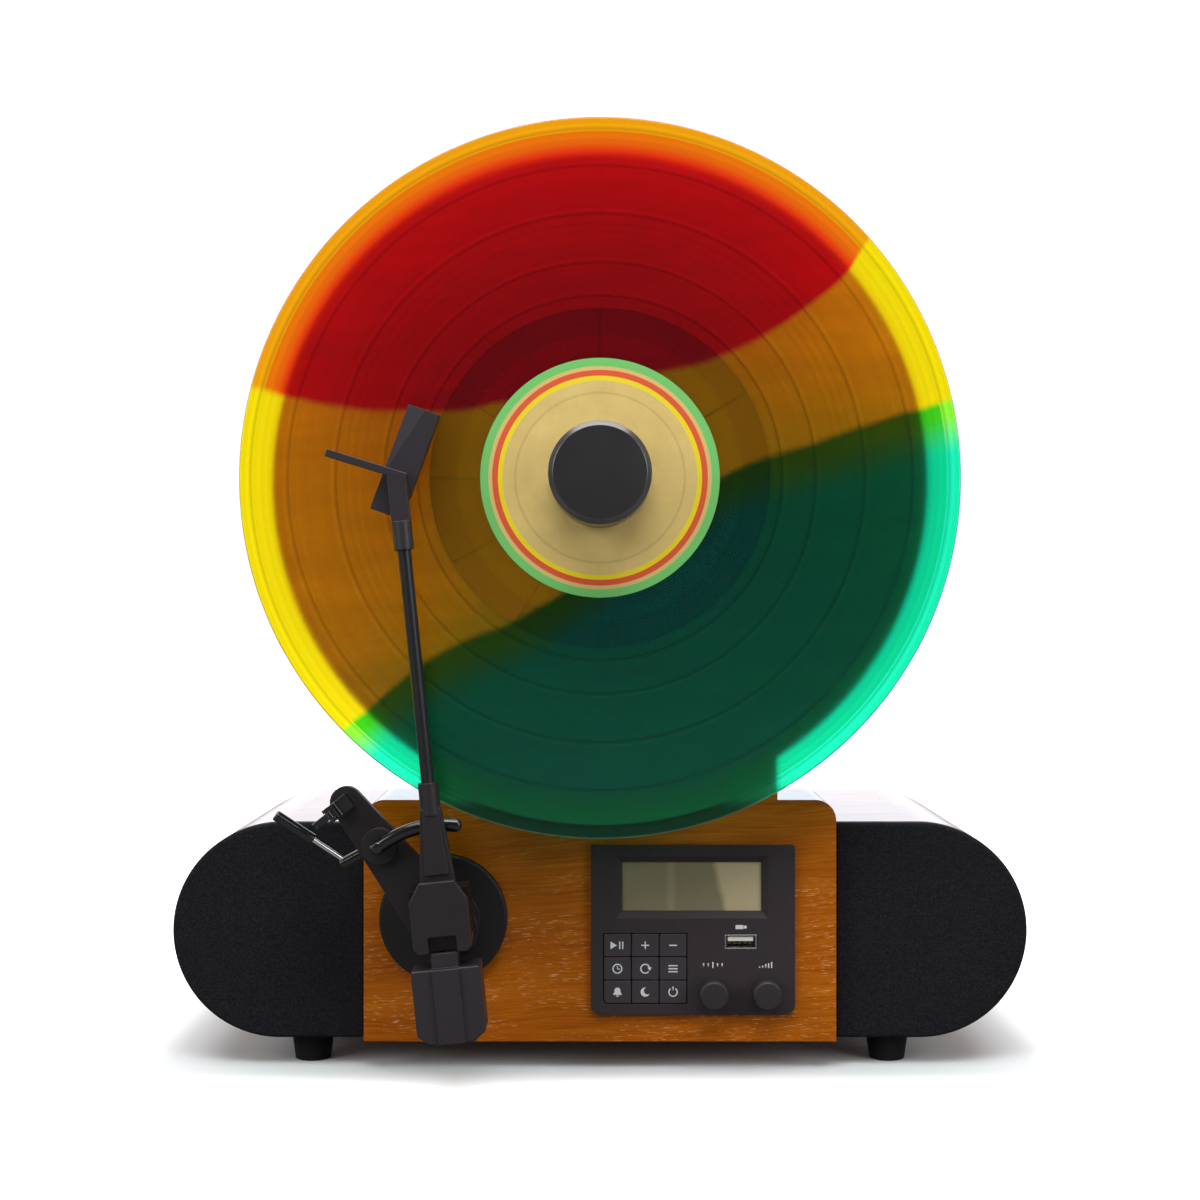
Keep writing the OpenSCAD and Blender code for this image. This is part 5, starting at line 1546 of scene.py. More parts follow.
@dataclass
class Turntable:
    """The record with its labels, the clamp on it, and the drive behind it."""

    site: Site
    record_r: float = 150.785
    record_points: int = 384
    rim_ease: float = 0.7
    rim_points: int = 13
    hole_r: float = 3.65
    groove_inner: float = 59.5
    groove_outer: float = 146.0
    sink: float = 0.1
    ramp: float = 0.6
    gap_rise: float = 0.06
    gap_half: float = 0.7
    gap_top: float = 0.4
    label_r: float = 50.0
    label_t: float = 0.15
    label_ease: Pair = (0.1, 0.04)
    label_points: int = 256
    pressed_r: float = 35.4
    pressed_half: float = 0.6
    pressed_slope: float = 0.3
    pressed_sink: float = 0.05
    clamp_r: float = 20.8
    clamp_chamfer: float = 1.9
    clamp_bore: float = 3.635
    clamp_bore_depth: float = 16.0
    clamp_rounds: tuple[float, ...] = (0.0, 0.3, 0.4, 0.45, 0.45, 0.0)
    clamp_points: int = 192

    @property
    def spindle(self) -> Bench:
        """The bench at the spindle."""
        return self.site.at_joint("platter_spin")

    def out(self, node: str) -> Pair:
        """How far a node's back and front stand out from the board."""
        low, high = self.site.box(node)
        return self.site.board - high[1], self.site.board - low[1]

    def build_record(self) -> None:
        """Turns the record: a flat label land, a sunk groove band with raised gaps, a round rim."""
        back, front = self.out("record")
        line = [-self.gap_half, -self.gap_top, self.gap_top, self.gap_half]
        gaps = np.array(FINISH.vinyl.track_gaps[:-1])[:, None] + line
        heights = np.tile([0.0, self.gap_rise, self.gap_rise, 0.0], len(gaps)) - self.sink
        r = np.concatenate([[self.hole_r, self.groove_inner, self.groove_inner + self.ramp],
                            gaps.ravel(), [self.groove_outer - self.ramp, self.groove_outer]])
        h = np.concatenate([[0.0, 0.0, -self.sink], heights, [-self.sink, 0.0]])
        half = (front - back) / 2
        turn = np.linspace(-QUARTER_TURN, QUARTER_TURN, self.rim_points)
        rim = np.column_stack([self.record_r - self.rim_ease * (1 - np.cos(turn)),
                               back + half + half * np.sin(turn)])
        profile = np.concatenate([np.column_stack([r, back - h]), rim,
                                  np.column_stack([r, front + h])[::-1]])
        self.site.add("pressed_record", lathe(profile, self.record_points, ring=True),
                      self.spindle, FINISH.vinyl, "turntable", "vinyl", ["record"])

    def build_labels(self) -> None:
        """Turns a paper label for each face, with a pressed ring in its outer side."""
        back, front = self.out("record_labels")
        p, d, slope = self.pressed_r, self.pressed_half, self.pressed_slope
        within, ease = self.label_ease
        r = np.array([self.hole_r, p - d - slope, p - d, p + d, p + d + slope, self.label_r - within])
        h = np.array([0.0, 0.0, -self.pressed_sink, -self.pressed_sink, 0.0, 0.0])
        edge = np.array([[self.label_r, ease], [self.label_r, self.label_t - ease]])
        flat = np.column_stack([r, np.zeros(len(r))])
        upper = np.concatenate([flat, edge, np.column_stack([r, h + self.label_t])[::-1]])
        lower = (upper * [1.0, -1.0])[::-1]
        labels = Shell.joined(*(
            lathe(line + [0.0, level], self.label_points, ring=True)
            for line, level in ((upper, front - self.label_t), (lower, back + self.label_t))))
        self.site.add("printed_labels", labels, self.spindle, FINISH.label, "turntable",
                      "label_paper", ["record_labels"])

    def build_clamp(self) -> None:
        """Turns the clamp: a bored drum with a chamfered front, all edges eased."""
        low, front = self.out("record_clamp")
        r, chamfer = self.clamp_r, self.clamp_chamfer
        line = filleted([(self.clamp_bore, low + self.clamp_bore_depth), (self.clamp_bore, low),
                         (r, low), (r, front - chamfer), (r - chamfer, front), (r / 4, front)],
                        self.clamp_rounds, closed=False)
        self.site.add("clamp_drum", lathe(line, self.clamp_points), self.spindle, FINISH.clamp,
                      "clamp", "black_aluminium", ["record_clamp"])

    def build(self) -> None:
        """Builds the record, labels and clamp and dresses the drive."""
        self.build_record()
        self.build_labels()
        self.build_clamp()
        self.site.dress(FINISH.plastic, "platter", "platter_pulley")
        self.site.dress(FINISH.mat, "platter_pad")
        self.site.dress(FINISH.rubber, "drive_belt")
        self.site.dress(FINISH.steel, "spindle", "drive_motor")
        self.site.dress(FINISH.brass, "spindle_bearing", "motor_pulley")


@dataclass
class Tonearm:
    """The tonearm on its round base, from the counterweight to the cartridge."""

    site: Site
    arm_w: float = 46.0
    base_r: float = 27.6
    base_t: float = 5.0
    base_shift: float = 3.8
    base_chamfer: float = 0.8
    base_rim: float = 1.0
    base_rounds: tuple[float, ...] = (0.0, 0.2, 0.3, 0.3, 0.0)
    base_points: int = 160
    bore_r: float = 4.03
    spigot: Pair = (7.5, 12.0)
    upright: Pair = (12.0, 29.0)
    upright_foot: float = 0.2
    shoulder: Pair = (10.0, 33.0)
    post_ease: float = 0.3
    post_points: int = 96
    cap_levels: Pair = (50.0, 54.0)
    cap_half: float = 12.0
    cap_front: float = 23.6
    cap_slope: float = 7.8
    cap_top: float = 7.3
    cap_rear: float = 5.4
    cap_corner: float = 2.0
    cap_ease: Ease = (0.7, 0.6)
    notch: Pair = (5.7, 6.6)
    beam_half: float = 7.0
    beam_t: float = 4.8
    beam_rear: float = 5.6
    taper_back: float = 25.6
    beam_ease: Ease = (0.6, 0.5)
    reach: float = 52.9
    strip_h: float = 1.0
    strip_in: Pair = (2.0, 1.0)
    strip_ease: Ease = (0.6, 0.4)
    sleeve_ease: float = 0.35
    sleeve_points: int = 64
    fit: float = 0.02
    overlap: float = 1.0
    collar_r: float = 4.2
    collar: Pair = (49.9, 63.3)
    tube_r: float = 2.75
    tube_wall: float = 0.75
    tube: Pair = (53.9, 169.1)
    head_collar_r: float = 4.1
    head_collar: Pair = (158.7, 170.6)
    neck_half: float = 3.9
    neck_t: float = 5.0
    neck_drop: float = 0.05
    neck_ease: Ease = (0.4, 0.35)
    finger_at: float = 189.8
    finger_angle: float = 157.2
    finger: Triple = (30.0, 3.2, 2.0)
    finger_ease: Ease = (0.45, 0.35)
    cartridge_at: Pair = (3.5, 194.8)
    cartridge_turn: float = 25.9
    cartridge: Pair = (13.5, 45.6)
    cartridge_low: float = 36.0
    facet: Triple = (0.8, -9.0, 1.1)
    carrier: tuple[float, float, float, float] = (4.5, -4.0, 20.0, 33.0)
    carrier_ease: float = 0.5
    weight_half: float = 14.0
    weight: Pair = (-42.1, -11.6)
    weight_levels: Pair = (37.0, 54.0)
    weight_chamfer: Pair = (5.0, 4.0)
    weight_ease: Ease = (0.9, 0.8)
    ridge_top: float = 55.5
    ridge_ease: Ease = (0.6, 0.5)
    stem_half: float = 5.5
    stem_rise: float = 2.0
    stem_ease: Ease = (0.5, 0.4)

    @property
    def arm(self) -> Bench:
        """The bench at the pivot, leaning as the arm does."""
        pivot = self.site.at_joint("tonearm_swing")
        return pivot.turned(self.site.lean("tonearm_lift", upright=False))

    def sleeve(self, ends: Pair, outer: float, inner: float) -> Shell:
        """A bored sleeve along the arm: a rectangle of wall and length, turned about the arm.

        Args:
            ends: where it starts and ends along the arm.
            outer: its radius.
            inner: the radius of its bore.

        Returns:
            The sleeve on the arm's bench.
        """
        ease = min(self.sleeve_ease, (outer - inner) / 3)
        wall = rectangle((inner, 0.0), (outer, ends[1] - ends[0]), ease)
        bench = self.arm.at(0.0, ends[0], self.arm_w).aimed(ALONG)
        return lathe(wall, self.sleeve_points, ring=True).moved(bench, self.arm)

    def add(self, name: str, shell: Shell, body: str, finish: Finish, slot: str, node: str) -> None:
        """Adds a piece on the arm's bench."""
        self.site.add(name, shell, self.arm, finish, body, slot, [node])

    def build_base(self) -> None:
        """Turns the round base and the bored upright on it."""
        pivot = self.site.at_joint("tonearm_swing")
        r, t, c = self.base_r, self.base_t, self.base_chamfer
        disc = filleted([(r - self.base_rim, 0.0), (r, 0.0), (r, t - c), (r - c, t), (r / 2, t)],
                        self.base_rounds, closed=False)
        spigot_r, spigot_l = self.spigot
        post = filleted([(self.bore_r, -spigot_l), (spigot_r, -spigot_l),
                         (spigot_r, self.upright_foot), (self.upright[0], self.upright_foot),
                         self.upright, (self.shoulder[0], self.upright[1]), self.shoulder,
                         (self.bore_r, self.shoulder[1])], self.post_ease)
        base = Shell.joined(
            lathe(disc, self.base_points).moved(pivot.at(-self.base_shift), pivot),
            lathe(post, self.post_points, ring=True))
        self.site.add("arm_base_disc", base, pivot, FINISH.mount, "base", "black_plastic",
                      ["tonearm_base"])

    def build_cap(self) -> None:
        """Raises the gimbal's cap: sloped shoulders in front, a notch for the stem behind."""
        h, f, rear, c = self.cap_half, self.cap_front, -self.cap_rear, self.cap_corner
        side, deep = self.notch[0], rear + self.notch[1]
        shell = block([(-h, f - self.cap_slope), (-h, rear + c), (c - h, rear), (-side, rear),
                       (-side, deep), (side, deep), (side, rear), (h - c, rear), (h, rear + c),
                       (h, f - self.cap_slope), (self.cap_top, f), (-self.cap_top, f)],
                      self.cap_levels, self.cap_ease)
        self.add("gimbal_cover", shell, "arm_swing", FINISH.cap, "black_plastic", "gimbal_cap")

    def build_beam(self) -> None:
        """Raises the tapered beam with its upper strip, and turns the collar at its tip."""
        h, tip, low = self.beam_half, self.collar_r, self.arm_w - self.beam_t / 2
        high, taper, reach, rear = low + self.beam_t, self.taper_back, self.reach, -self.beam_rear
        edge, end = h - self.strip_in[0], tip - self.strip_in[1]
        shell = Shell.joined(
            block([(-h, rear), (h, rear), (h, taper), (tip, reach), (-tip, reach), (-h, taper)],
                  (low, high), self.beam_ease),
            block([(-edge, taper), (edge, taper), (end, reach), (-end, reach)],
                  (self.arm_w, high + self.strip_h), self.strip_ease),
            self.sleeve(self.collar, self.collar_r, self.tube_r + self.fit))
        self.add("arm_beam", shell, "arm_lift", FINISH.cap, "black_plastic", "arm_housing")
        tube = self.sleeve(self.tube, self.tube_r, self.tube_r - self.tube_wall)
        self.add("arm_pipe", tube, "arm_lift", FINISH.anodised, "black_aluminium", "arm_tube")

    def build_head(self) -> None:
        """Turns the head's collar and raises its neck, cut off along the finger lift."""
        length, width, thick = self.finger
        high = self.arm_w + self.neck_t / 2
        start = self.head_collar[1] - self.overlap
        tilt = math.radians(180.0 - self.finger_angle)
        top, n = self.finger_at + width / 2, self.neck_half
        drop, reach = n * math.tan(tilt), n / math.cos(tilt)
        finger = slab((-reach, -width / 2), (length, width / 2), (high - thick, high),
                      self.finger_ease)
        bench = self.arm.at(0.0, self.finger_at).turned(self.finger_angle)
        shell = Shell.joined(
            self.sleeve(self.head_collar, self.head_collar_r, self.tube_r + self.fit),
            block([(-n, start), (n, start), (n, top - drop), (-n, top + drop)],
                  (high - self.neck_t, high - self.neck_drop), self.neck_ease),
            finger.moved(bench, self.arm))
        self.add("head_mount", shell, "arm_lift", FINISH.arm, "black_plastic", "headshell")

    def build_cartridge(self) -> None:
        """Raises the cartridge's body and the narrower carrier under it.

        The upper left corner of the body's face slopes down from a ridge between two edges.
        """
        x, y = self.cartridge[0] / 2, self.cartridge[1] / 2
        floor, top = self.cartridge_low, self.arm_w - self.neck_t / 2
        ridge, cut, drop = self.facet
        points = [(-x, -y, floor), (x, -y, floor), (x, y, floor), (-x, y, floor), (-x, -y, top),
                  (x, -y, top), (x, y, top), (ridge, y, top), (-x, y, top - drop), (-x, cut, top)]
        body = Shell(np.array(points), [[3, 2, 1, 0], [0, 1, 5, 4], [1, 2, 6, 5], [2, 3, 8, 7, 6],
                                        [3, 0, 4, 9, 8], [4, 5, 6, 7, 9], [7, 8, 9]])
        half, back, front, low = self.carrier
        ease = self.carrier_ease
        carrier = flat_prism(rectangle((-half, back), (half, front), ease), low, floor + ease)
        bench = self.arm.at(*self.cartridge_at).turned(-self.cartridge_turn)
        self.site.add("cartridge_body", Shell.joined(body, carrier), bench, FINISH.arm, "arm_lift",
                      "black_plastic", ["cartridge"], facets=True)

    def build_weight(self) -> None:
        """Raises the counterweight with cut corners, its raised strip and its stem."""
        h, (low, top), (cx, cy) = self.weight_half, self.weight, self.weight_chamfer
        s, floor = self.stem_half, self.arm_w - self.beam_t / 2
        shell = Shell.joined(
            block([(-h, low + cy), (cx - h, low), (h - cx, low), (h, low + cy), (h, top),
                   (-h, top)], self.weight_levels, self.weight_ease),
            slab((-s, low), (s, top), (self.arm_w, self.ridge_top), self.ridge_ease),
            slab((-s, top - self.overlap), (s, -self.beam_rear),
                 (floor, self.cap_levels[0] + self.stem_rise), self.stem_ease))
        self.add("balance_weight", shell, "arm_lift", FINISH.arm, "black_steel", "counterweight")

    def build(self) -> None:
        """Builds the arm's pieces and dresses its pivots."""
        self.build_base()
        self.build_cap()
        self.build_beam()
        self.build_head()
        self.build_cartridge()
        self.build_weight()
        self.site.dress(FINISH.yoke, "gimbal_yoke")
        self.site.dress(FINISH.steel, "pivot_shaft", "lift_pin")
        self.site.dress(FINISH.stylus, "stylus")


@dataclass
class ArmRest:
    """The arm's rest with its clip and latch, and the lift with its lever."""

    site: Site
    lift_r: float = 45.0
    lift_w: float = 40.0
    lift_rod_r: float = 2.25
    lift_sweep: float = 47.0
    lift_tail: float = 4.0
    lift_broad: float = 1.25
    plunger_r: float = 2.5
    plunger: Pair = (28.9, 42.3)
    plunger_ends: Pair = (1.5, 0.6)
    plunger_rounds: Pair = (0.3, 0.9)
    plunger_points: int = 48
    lever_w: float = 26.0
    shaft_r: float = 2.5
    shaft_in: float = 4.0
    shaft_l: float = 19.0
    shaft_angle: float = 170.0
    shaft_rounds: Pair = (0.4, 0.4)
    small_points: int = 40
    rod_r: float = 1.1
    rod_l: float = 36.0
    rod_short: float = 1.5
    rod_in: float = 2.0
    rod_points: int = 32
    rod_angle: float = 106.8
    rod_rise: float = 10.0
    grip_r: float = 2.3
    grip_l: float = 19.0
    grip_fit: float = 0.02
    grip_end: float = 0.8
    grip_rounds: Pair = (0.5, 0.9)
    latch_l: float = 10.0
    latch_t: float = 1.4
    latch_wide: float = 3.2
    latch_barrel_r: float = 1.6
    latch_bore_r: float = 0.83
    latch_round: float = 0.2
    latch_root: float = 0.3
    latch_gap: float = 0.1
    latch_ease: Ease = (0.3, 0.5)
    latch_open: float = 40.0
    clip_at: float = 67.7
    clip_l: float = 6.4
    clip_low: float = 32.9
    clip_shelf: float = 42.85
    clip_top: float = 51.76
    clip_wall: Pair = (3.15, 6.15)
    clip_edge: float = 3.0
    clip_cover: float = 0.05
    clip_ease: Ease = ((0.2, 0.2, 0.3, 0.3, 1.6, 0.5), 0.25)
    ear_t: float = 1.4
    ear_h: float = 3.4
    ear_root: float = 1.0
    ear_ease: Ease = ((0.2, 0.2, 0.5, 0.5), 0.2)

    @property
    def rest(self) -> Bench:
        """The bench at the pivot, leaning as the rest does."""
        pivot = self.site.at_joint("tonearm_swing")
        return pivot.turned(self.site.lean("rest_latch_turn", upright=True))

    def build_lift(self) -> None:
        """Bends the lift's broad rod about the pivot, past the plunger that carries it."""
        pin = peg(self.plunger_r, self.plunger_ends, self.plunger, self.plunger_rounds,
                  self.plunger_points)
        rod = bent_rod(self.lift_r, 90.0 - self.lift_sweep, self.lift_sweep + self.lift_tail,
                       self.lift_rod_r, self.lift_broad)
        shell = Shell.joined(pin.moved(self.rest.at(0.0, self.lift_r), self.rest),
                             rod.moved(self.rest.at(0.0, 0.0, self.lift_w), self.rest))
        self.site.add("lift_bow", shell, self.rest, FINISH.gloss, "lift", "gloss_black", ["lift_arc"])

    def build_lever(self) -> None:
        """Turns the lever's shaft, and its rod and grip, which stand off the shaft's end."""
        angle = math.radians(self.shaft_angle)
        hub = self.rest.at(0.0, self.lift_r, self.lever_w)
        aim = np.array([math.cos(angle), math.sin(angle), 0.0])
        shaft_bench = hub.at(*(-self.shaft_in * aim)).aimed(aim)
        r, length = self.shaft_r, self.shaft_in + self.shaft_l
        shaft = peg(r, (r / 3, r / 3), (0.0, length), self.shaft_rounds, self.small_points)
        turn, rise = math.radians(self.rod_angle), math.radians(self.rod_rise)
        way = (math.cos(turn) * math.cos(rise), math.sin(turn) * math.cos(rise), math.sin(rise))
        rod_bench = hub.at(*((self.shaft_l - r) * aim)).aimed(way)
        grip = peg(self.grip_r, (self.rod_r + self.grip_fit, self.grip_end),
                   (self.rod_l - self.grip_l, self.rod_l), self.grip_rounds, self.small_points)
        lever = Shell.joined(shaft.moved(shaft_bench, self.rest), grip.moved(rod_bench, self.rest))
        self.site.add("cue_handle", lever, self.rest, FINISH.gloss, "cue", "gloss_black",
                      ["cue_lever"])
        rod = lathe(ball_ended(self.rod_l - self.rod_short + self.rod_in, self.rod_r), self.rod_points)
        self.site.add("cue_stalk", rod, rod_bench.at(0.0, 0.0, -self.rod_in), FINISH.chrome,
                      "cue", "chrome", ["cue_rod"])

    def build_latch(self) -> None:
        """Turns the latch's barrel about its pin and raises its plate, leaning open."""
        pin = np.array(self.site.joints["rest_latch_turn"]["pos_m"]) / MM
        bench = Bench(pin, self.rest.axes).at(0.0, -self.latch_wide / 2)
        wide, t, gap, bore = self.latch_wide, self.latch_t / 2, self.latch_gap, self.latch_bore_r
        wall = rectangle((bore, 0.0), (self.latch_barrel_r, wide), self.latch_round)
        barrel = lathe(wall, self.small_points, ring=True).moved(bench.aimed(ALONG), bench)
        plate = slab((-t, gap), (t, wide - gap), (bore + self.latch_root, self.latch_l),
                     self.latch_ease)
        shell = Shell.joined(barrel, plate.moved(bench.leaned(self.latch_open), bench))
        self.site.add("latch_hook", shell, bench, FINISH.gloss, "latch", "black_plastic",
                      ["rest_latch"])

    def build_clip(self) -> None:
        """Raises a glossy cover on the bracket's clip: a shelf, a wall and two ears."""
        c, (inner, outer), half = self.clip_cover, self.clip_wall, self.clip_l / 2
        left, near, far, end = -self.clip_edge - c, inner - c, outer + c, half + c
        low, shelf, top = self.clip_low, self.clip_shelf + c, self.clip_top
        cup = block([(left, low), (far, low), (far, top), (near, top), (near, shelf),
                     (left, shelf)], (-end, end), self.clip_ease)
        ears = [slab((near, top - self.ear_root), (far, top + self.ear_h + c), levels,
                     self.ear_ease)
                for levels in ((-end, self.ear_t - half), (half - self.ear_t, end))]
        bench = self.rest.at(0.0, self.clip_at).aimed(ALONG)
        self.site.add("rest_clip", Shell.joined(cup, *ears), bench, FINISH.gloss, "base",
                      "gloss_black")

    def build(self) -> None:
        """Builds the lift, lever, latch and clip and dresses the bracket."""
        self.build_lift()
        self.build_lever()
        self.build_latch()
        self.build_clip()
        self.site.dress(FINISH.mount, "arm_rest_bracket")


class Pictogram(Enum):
    """The common signs on the keys, by the key's body."""

    PLAY = "play"
    PLUS = "preset_up"
    MINUS = "preset_down"
    CLOCK = "time"
    LOOP = "repeat"
    LIST = "mode"
    BELL = "alarm"
    MOON = "sleep"
    SWITCH = "power"


@dataclass
class ControlPanel:
    """The panel with its display, keys with signs, memory-stick slot and two knobs."""

    site: Site
    key_levels: Pair = (-1.5, 2.8)
    key_ease: float = 0.3
    key_corner: float = 0.5
    grid_corner: float = 1.7
    stem_half: float = 2.3
    stem_low: float = -7.0
    stem_in: float = 0.4
    stem_ease: Ease = (0.4, 0.2)
    ink_t: float = 0.04
    line: float = 0.55
    face: float = 2.6
    knob_r: float = 6.3
    knob: Pair = (3.2, 13.2)
    knob_ease: float = 0.8
    knob_rounds: tuple[float, ...] = (0.0, 0.3, 0.1, 0.3, 0.35, 0.35, 0.0)
    knob_points: int = 200
    knob_shaft: Pair = (3.0, -3.0)
    knob_shaft_rim: float = 0.6
    knob_wall: Pair = (0.2, 1.0)
    knob_rows: int = 3
    pointer_at: float = 200.0
    pointer_half: float = 3.6
    pointer_deep: float = 0.6
    pointer_long: float = 1.5
    slot_middle: Pair = (60.8, 56.2)
    tongue: Pair = (11.1, 2.0)
    tongue_up: float = 1.15
    tongue_levels: Pair = (-8.0, 1.85)
    tongue_ease: Ease = (0.25, 0.2)
    well: Triple = (10.6, -2.1, 0.1)
    well_levels: Triple = (-4.5, -4.0, -3.5)
    well_ease: Ease = (0.2, 0.1)
    contact: Triple = (2.35, 1.3, 1.1)
    contact_up: float = 0.3
    contact_ease: Ease = (0.15, 0.1)
    contacts: int = 4
    mark_rise: float = 11.4
    slot_mark_rise: float = 6.4

    def signs(self, sign: Pictogram) -> list[Array]:
        """The outlines of a key's sign, about the key's middle.

        Args:
            sign: the sign.

        Returns:
            Counter-clockwise outlines.
        """
        t = self.line
        bar = self.bar
        match sign:
            case Pictogram.PLAY:
                wedge = np.array([(-3.0, -1.7), (-0.2, 0.0), (-3.0, 1.7)])
                return [wedge, bar(1.0, 0.0, t, 3.2), bar(2.3, 0.0, t, 3.2)]
            case Pictogram.PLUS:
                return [bar(0.0, 0.0, 3.4, t), bar(0.0, 1.0, t, 1.4), bar(0.0, -1.0, t, 1.4)]
            case Pictogram.MINUS:
                return [bar(0.0, 0.0, 3.4, t)]
            case Pictogram.CLOCK:
                return [band(1.9, t, -89.0, 269.0), bar(0.0, 0.55, t * 0.8, 1.3),
                        bar(0.55, -0.15, 1.1, t * 0.8)]
            case Pictogram.LOOP:
                head = np.array([(0.9, 0.6), (2.9, 0.6), (1.9, -0.9)])
                return [band(1.9, t, 20.0, 320.0), head]
            case Pictogram.LIST:
                return [bar(0.0, y, 4.0, t) for y in (-1.3, 0.0, 1.3)]
            case Pictogram.BELL:
                dome = filleted([(-2.0, -1.2), (2.0, -1.2), (1.3, 0.0), (1.2, 1.9), (-1.2, 1.9),
                                 (-1.3, 0.0)], [0.1, 0.1, 0.4, 1.1, 1.1, 0.4])
                return [dome, bar(0.0, -1.75, 1.2, t)]
            case Pictogram.MOON:
                return [self.crescent(2.0, 1.55, 1.1, 30.0)]
            case _:
                return [band(1.8, t, -235.0, 55.0), bar(0.0, 1.5, t, 1.7)]

    @staticmethod
    def crescent(outer: float, inner: float, shift: float, turn: float) -> Array:
        """A crescent: one circle's arc, and back along another's between their two crossings.

        Args:
            outer: radius of the outer circle.
            inner: radius of the circle that is cut away.
            shift: how far the second circle's middle stands off.
            turn: where the opening faces, in degrees.

        Returns:
            The counter-clockwise outline.
        """
        half = math.acos((outer ** 2 + shift ** 2 - inner ** 2) / (2 * outer * shift))
        other = math.atan2(outer * math.sin(half), outer * math.cos(half) - shift)
        there = np.linspace(half, FULL_TURN - half, ARC_POINTS)
        back = np.linspace(FULL_TURN - other, other, INNER_POINTS)[1:-1]
        line = np.concatenate([outer * np.exp(1j * there), shift + inner * np.exp(1j * back)])
        line = line * np.exp(1j * math.radians(turn))
        return np.column_stack([line.real, line.imag])

    @staticmethod
    def bar(x: float, y: float, wide: float, high: float) -> Array:
        """A level or upright bar about a middle."""
        return np.array([(x - wide / 2, y - high / 2), (x + wide / 2, y - high / 2),
                         (x + wide / 2, y + high / 2), (x - wide / 2, y + high / 2)])

    def printed(self, outlines: Sequence[Array], level: float) -> Shell:
        """A thin print of several outlines on a face."""
        return Shell.joined(*(flat_prism(o, level - self.ink_t, level + self.ink_t) for o in outlines))

    def build_key(self, sign: Pictogram) -> None:
        """Raises a key's cap on its stem, and prints its sign.

        Args:
            sign: the key's sign.
        """
        node = sign.value + "_key"
        low, high = self.site.box(node)
        x, z = (high - low)[[0, 2]] / 2
        bench = self.site.on_board((low[0] + high[0]) / 2, (low[2] + high[2]) / 2)
        corner = [self.key_corner] * 4
        if sign is Pictogram.BELL:
            corner[0] = self.grid_corner
        cap = slab((-x, -z), (x, z), self.key_levels, (corner, self.key_ease))
        s = self.stem_half
        stem = slab((-s, -s), (s, s), (self.stem_low, self.key_levels[0] + self.stem_in),
                    self.stem_ease)
        self.site.add(node + "_cap", Shell.joined(cap, stem), bench, FINISH.key, sign.value,
                      "black_plastic", [node])
        self.site.add(node + "_sign", self.printed(self.signs(sign), self.key_levels[1]), bench,
                      FINISH.ink, sign.value)

    def build_knob(self, name: str) -> None:
        """Turns a knob on its shaft, and presses a pointer notch into the rim of its face.

        The radius at angle a is drawn in by the notch's depth where a is within the notch and
        the height is within its length of the face.

        Args:
            name: the knob's body.
        """
        bench = self.site.at_joint(name + "_knob_turn")
        r, ease, (low, high) = self.knob_r, self.knob_ease, self.knob
        shaft_r, shaft_low = self.knob_shaft
        start, first = low + np.array(self.knob_wall)
        line = filleted([(shaft_r - self.knob_shaft_rim, shaft_low), (shaft_r, shaft_low),
                         (shaft_r, low), (r, low), (r, high - ease), (r - ease, high),
                         (r / 3, high)], self.knob_rounds, closed=False)
        rows = np.linspace(high - self.pointer_long, first, self.knob_rows)[::-1]
        wall = np.column_stack([np.full(self.knob_rows, r), rows])
        split = int(np.argmax((line[:, 0] > r - TOLERANCE) & (line[:, 1] > start)))
        line = np.insert(line, split + 1, wall, axis=0)
        shell = lathe(line, self.knob_points)
        x, y, w = shell.points.T
        away = np.degrees(np.abs(np.angle(np.exp(1j * (np.arctan2(y, x)
                                                       - math.radians(self.pointer_at))))))
        inside = ((away < self.pointer_half) & (w > high - self.pointer_long + TOLERANCE)
                  & (np.hypot(x, y) > r - ease - self.pointer_deep))
        shell.points[:, :2] *= np.where(inside, 1.0 - self.pointer_deep / r, 1.0)[:, None]
        self.site.add(name + "_dial", shell, bench, FINISH.knob, name, "black_plastic",
                      [name + "_knob"])

    def build_slot(self) -> None:
        """Raises the memory-stick slot's white tongue, its inner wall and four contacts."""
        wide, high = self.tongue
        slot = self.site.on_board(*self.slot_middle)
        tongue = slab((-wide / 2, -high / 2), (wide / 2, high / 2), self.tongue_levels,
                      self.tongue_ease)
        self.site.add("slot_tongue", tongue, slot.at(0.0, self.tongue_up), FINISH.ivory, "base")
        across, low, top = self.well
        back, face, front = self.well_levels
        wall = slab((-across / 2, low), (across / 2, top), (back, face), self.well_ease)
        self.site.add("slot_wall", wall, slot, FINISH.well, "base")
        pitch, broad, tall = self.contact
        start = low + self.contact_up
        contacts = [slab((x - broad / 2, start), (x + broad / 2, start + tall), (back, front),
                         self.contact_ease)
                    for x in pitch * (np.arange(self.contacts) - (self.contacts - 1) / 2)]
        self.site.add("slot_contacts", Shell.joined(*contacts), slot, FINISH.gloss, "base")

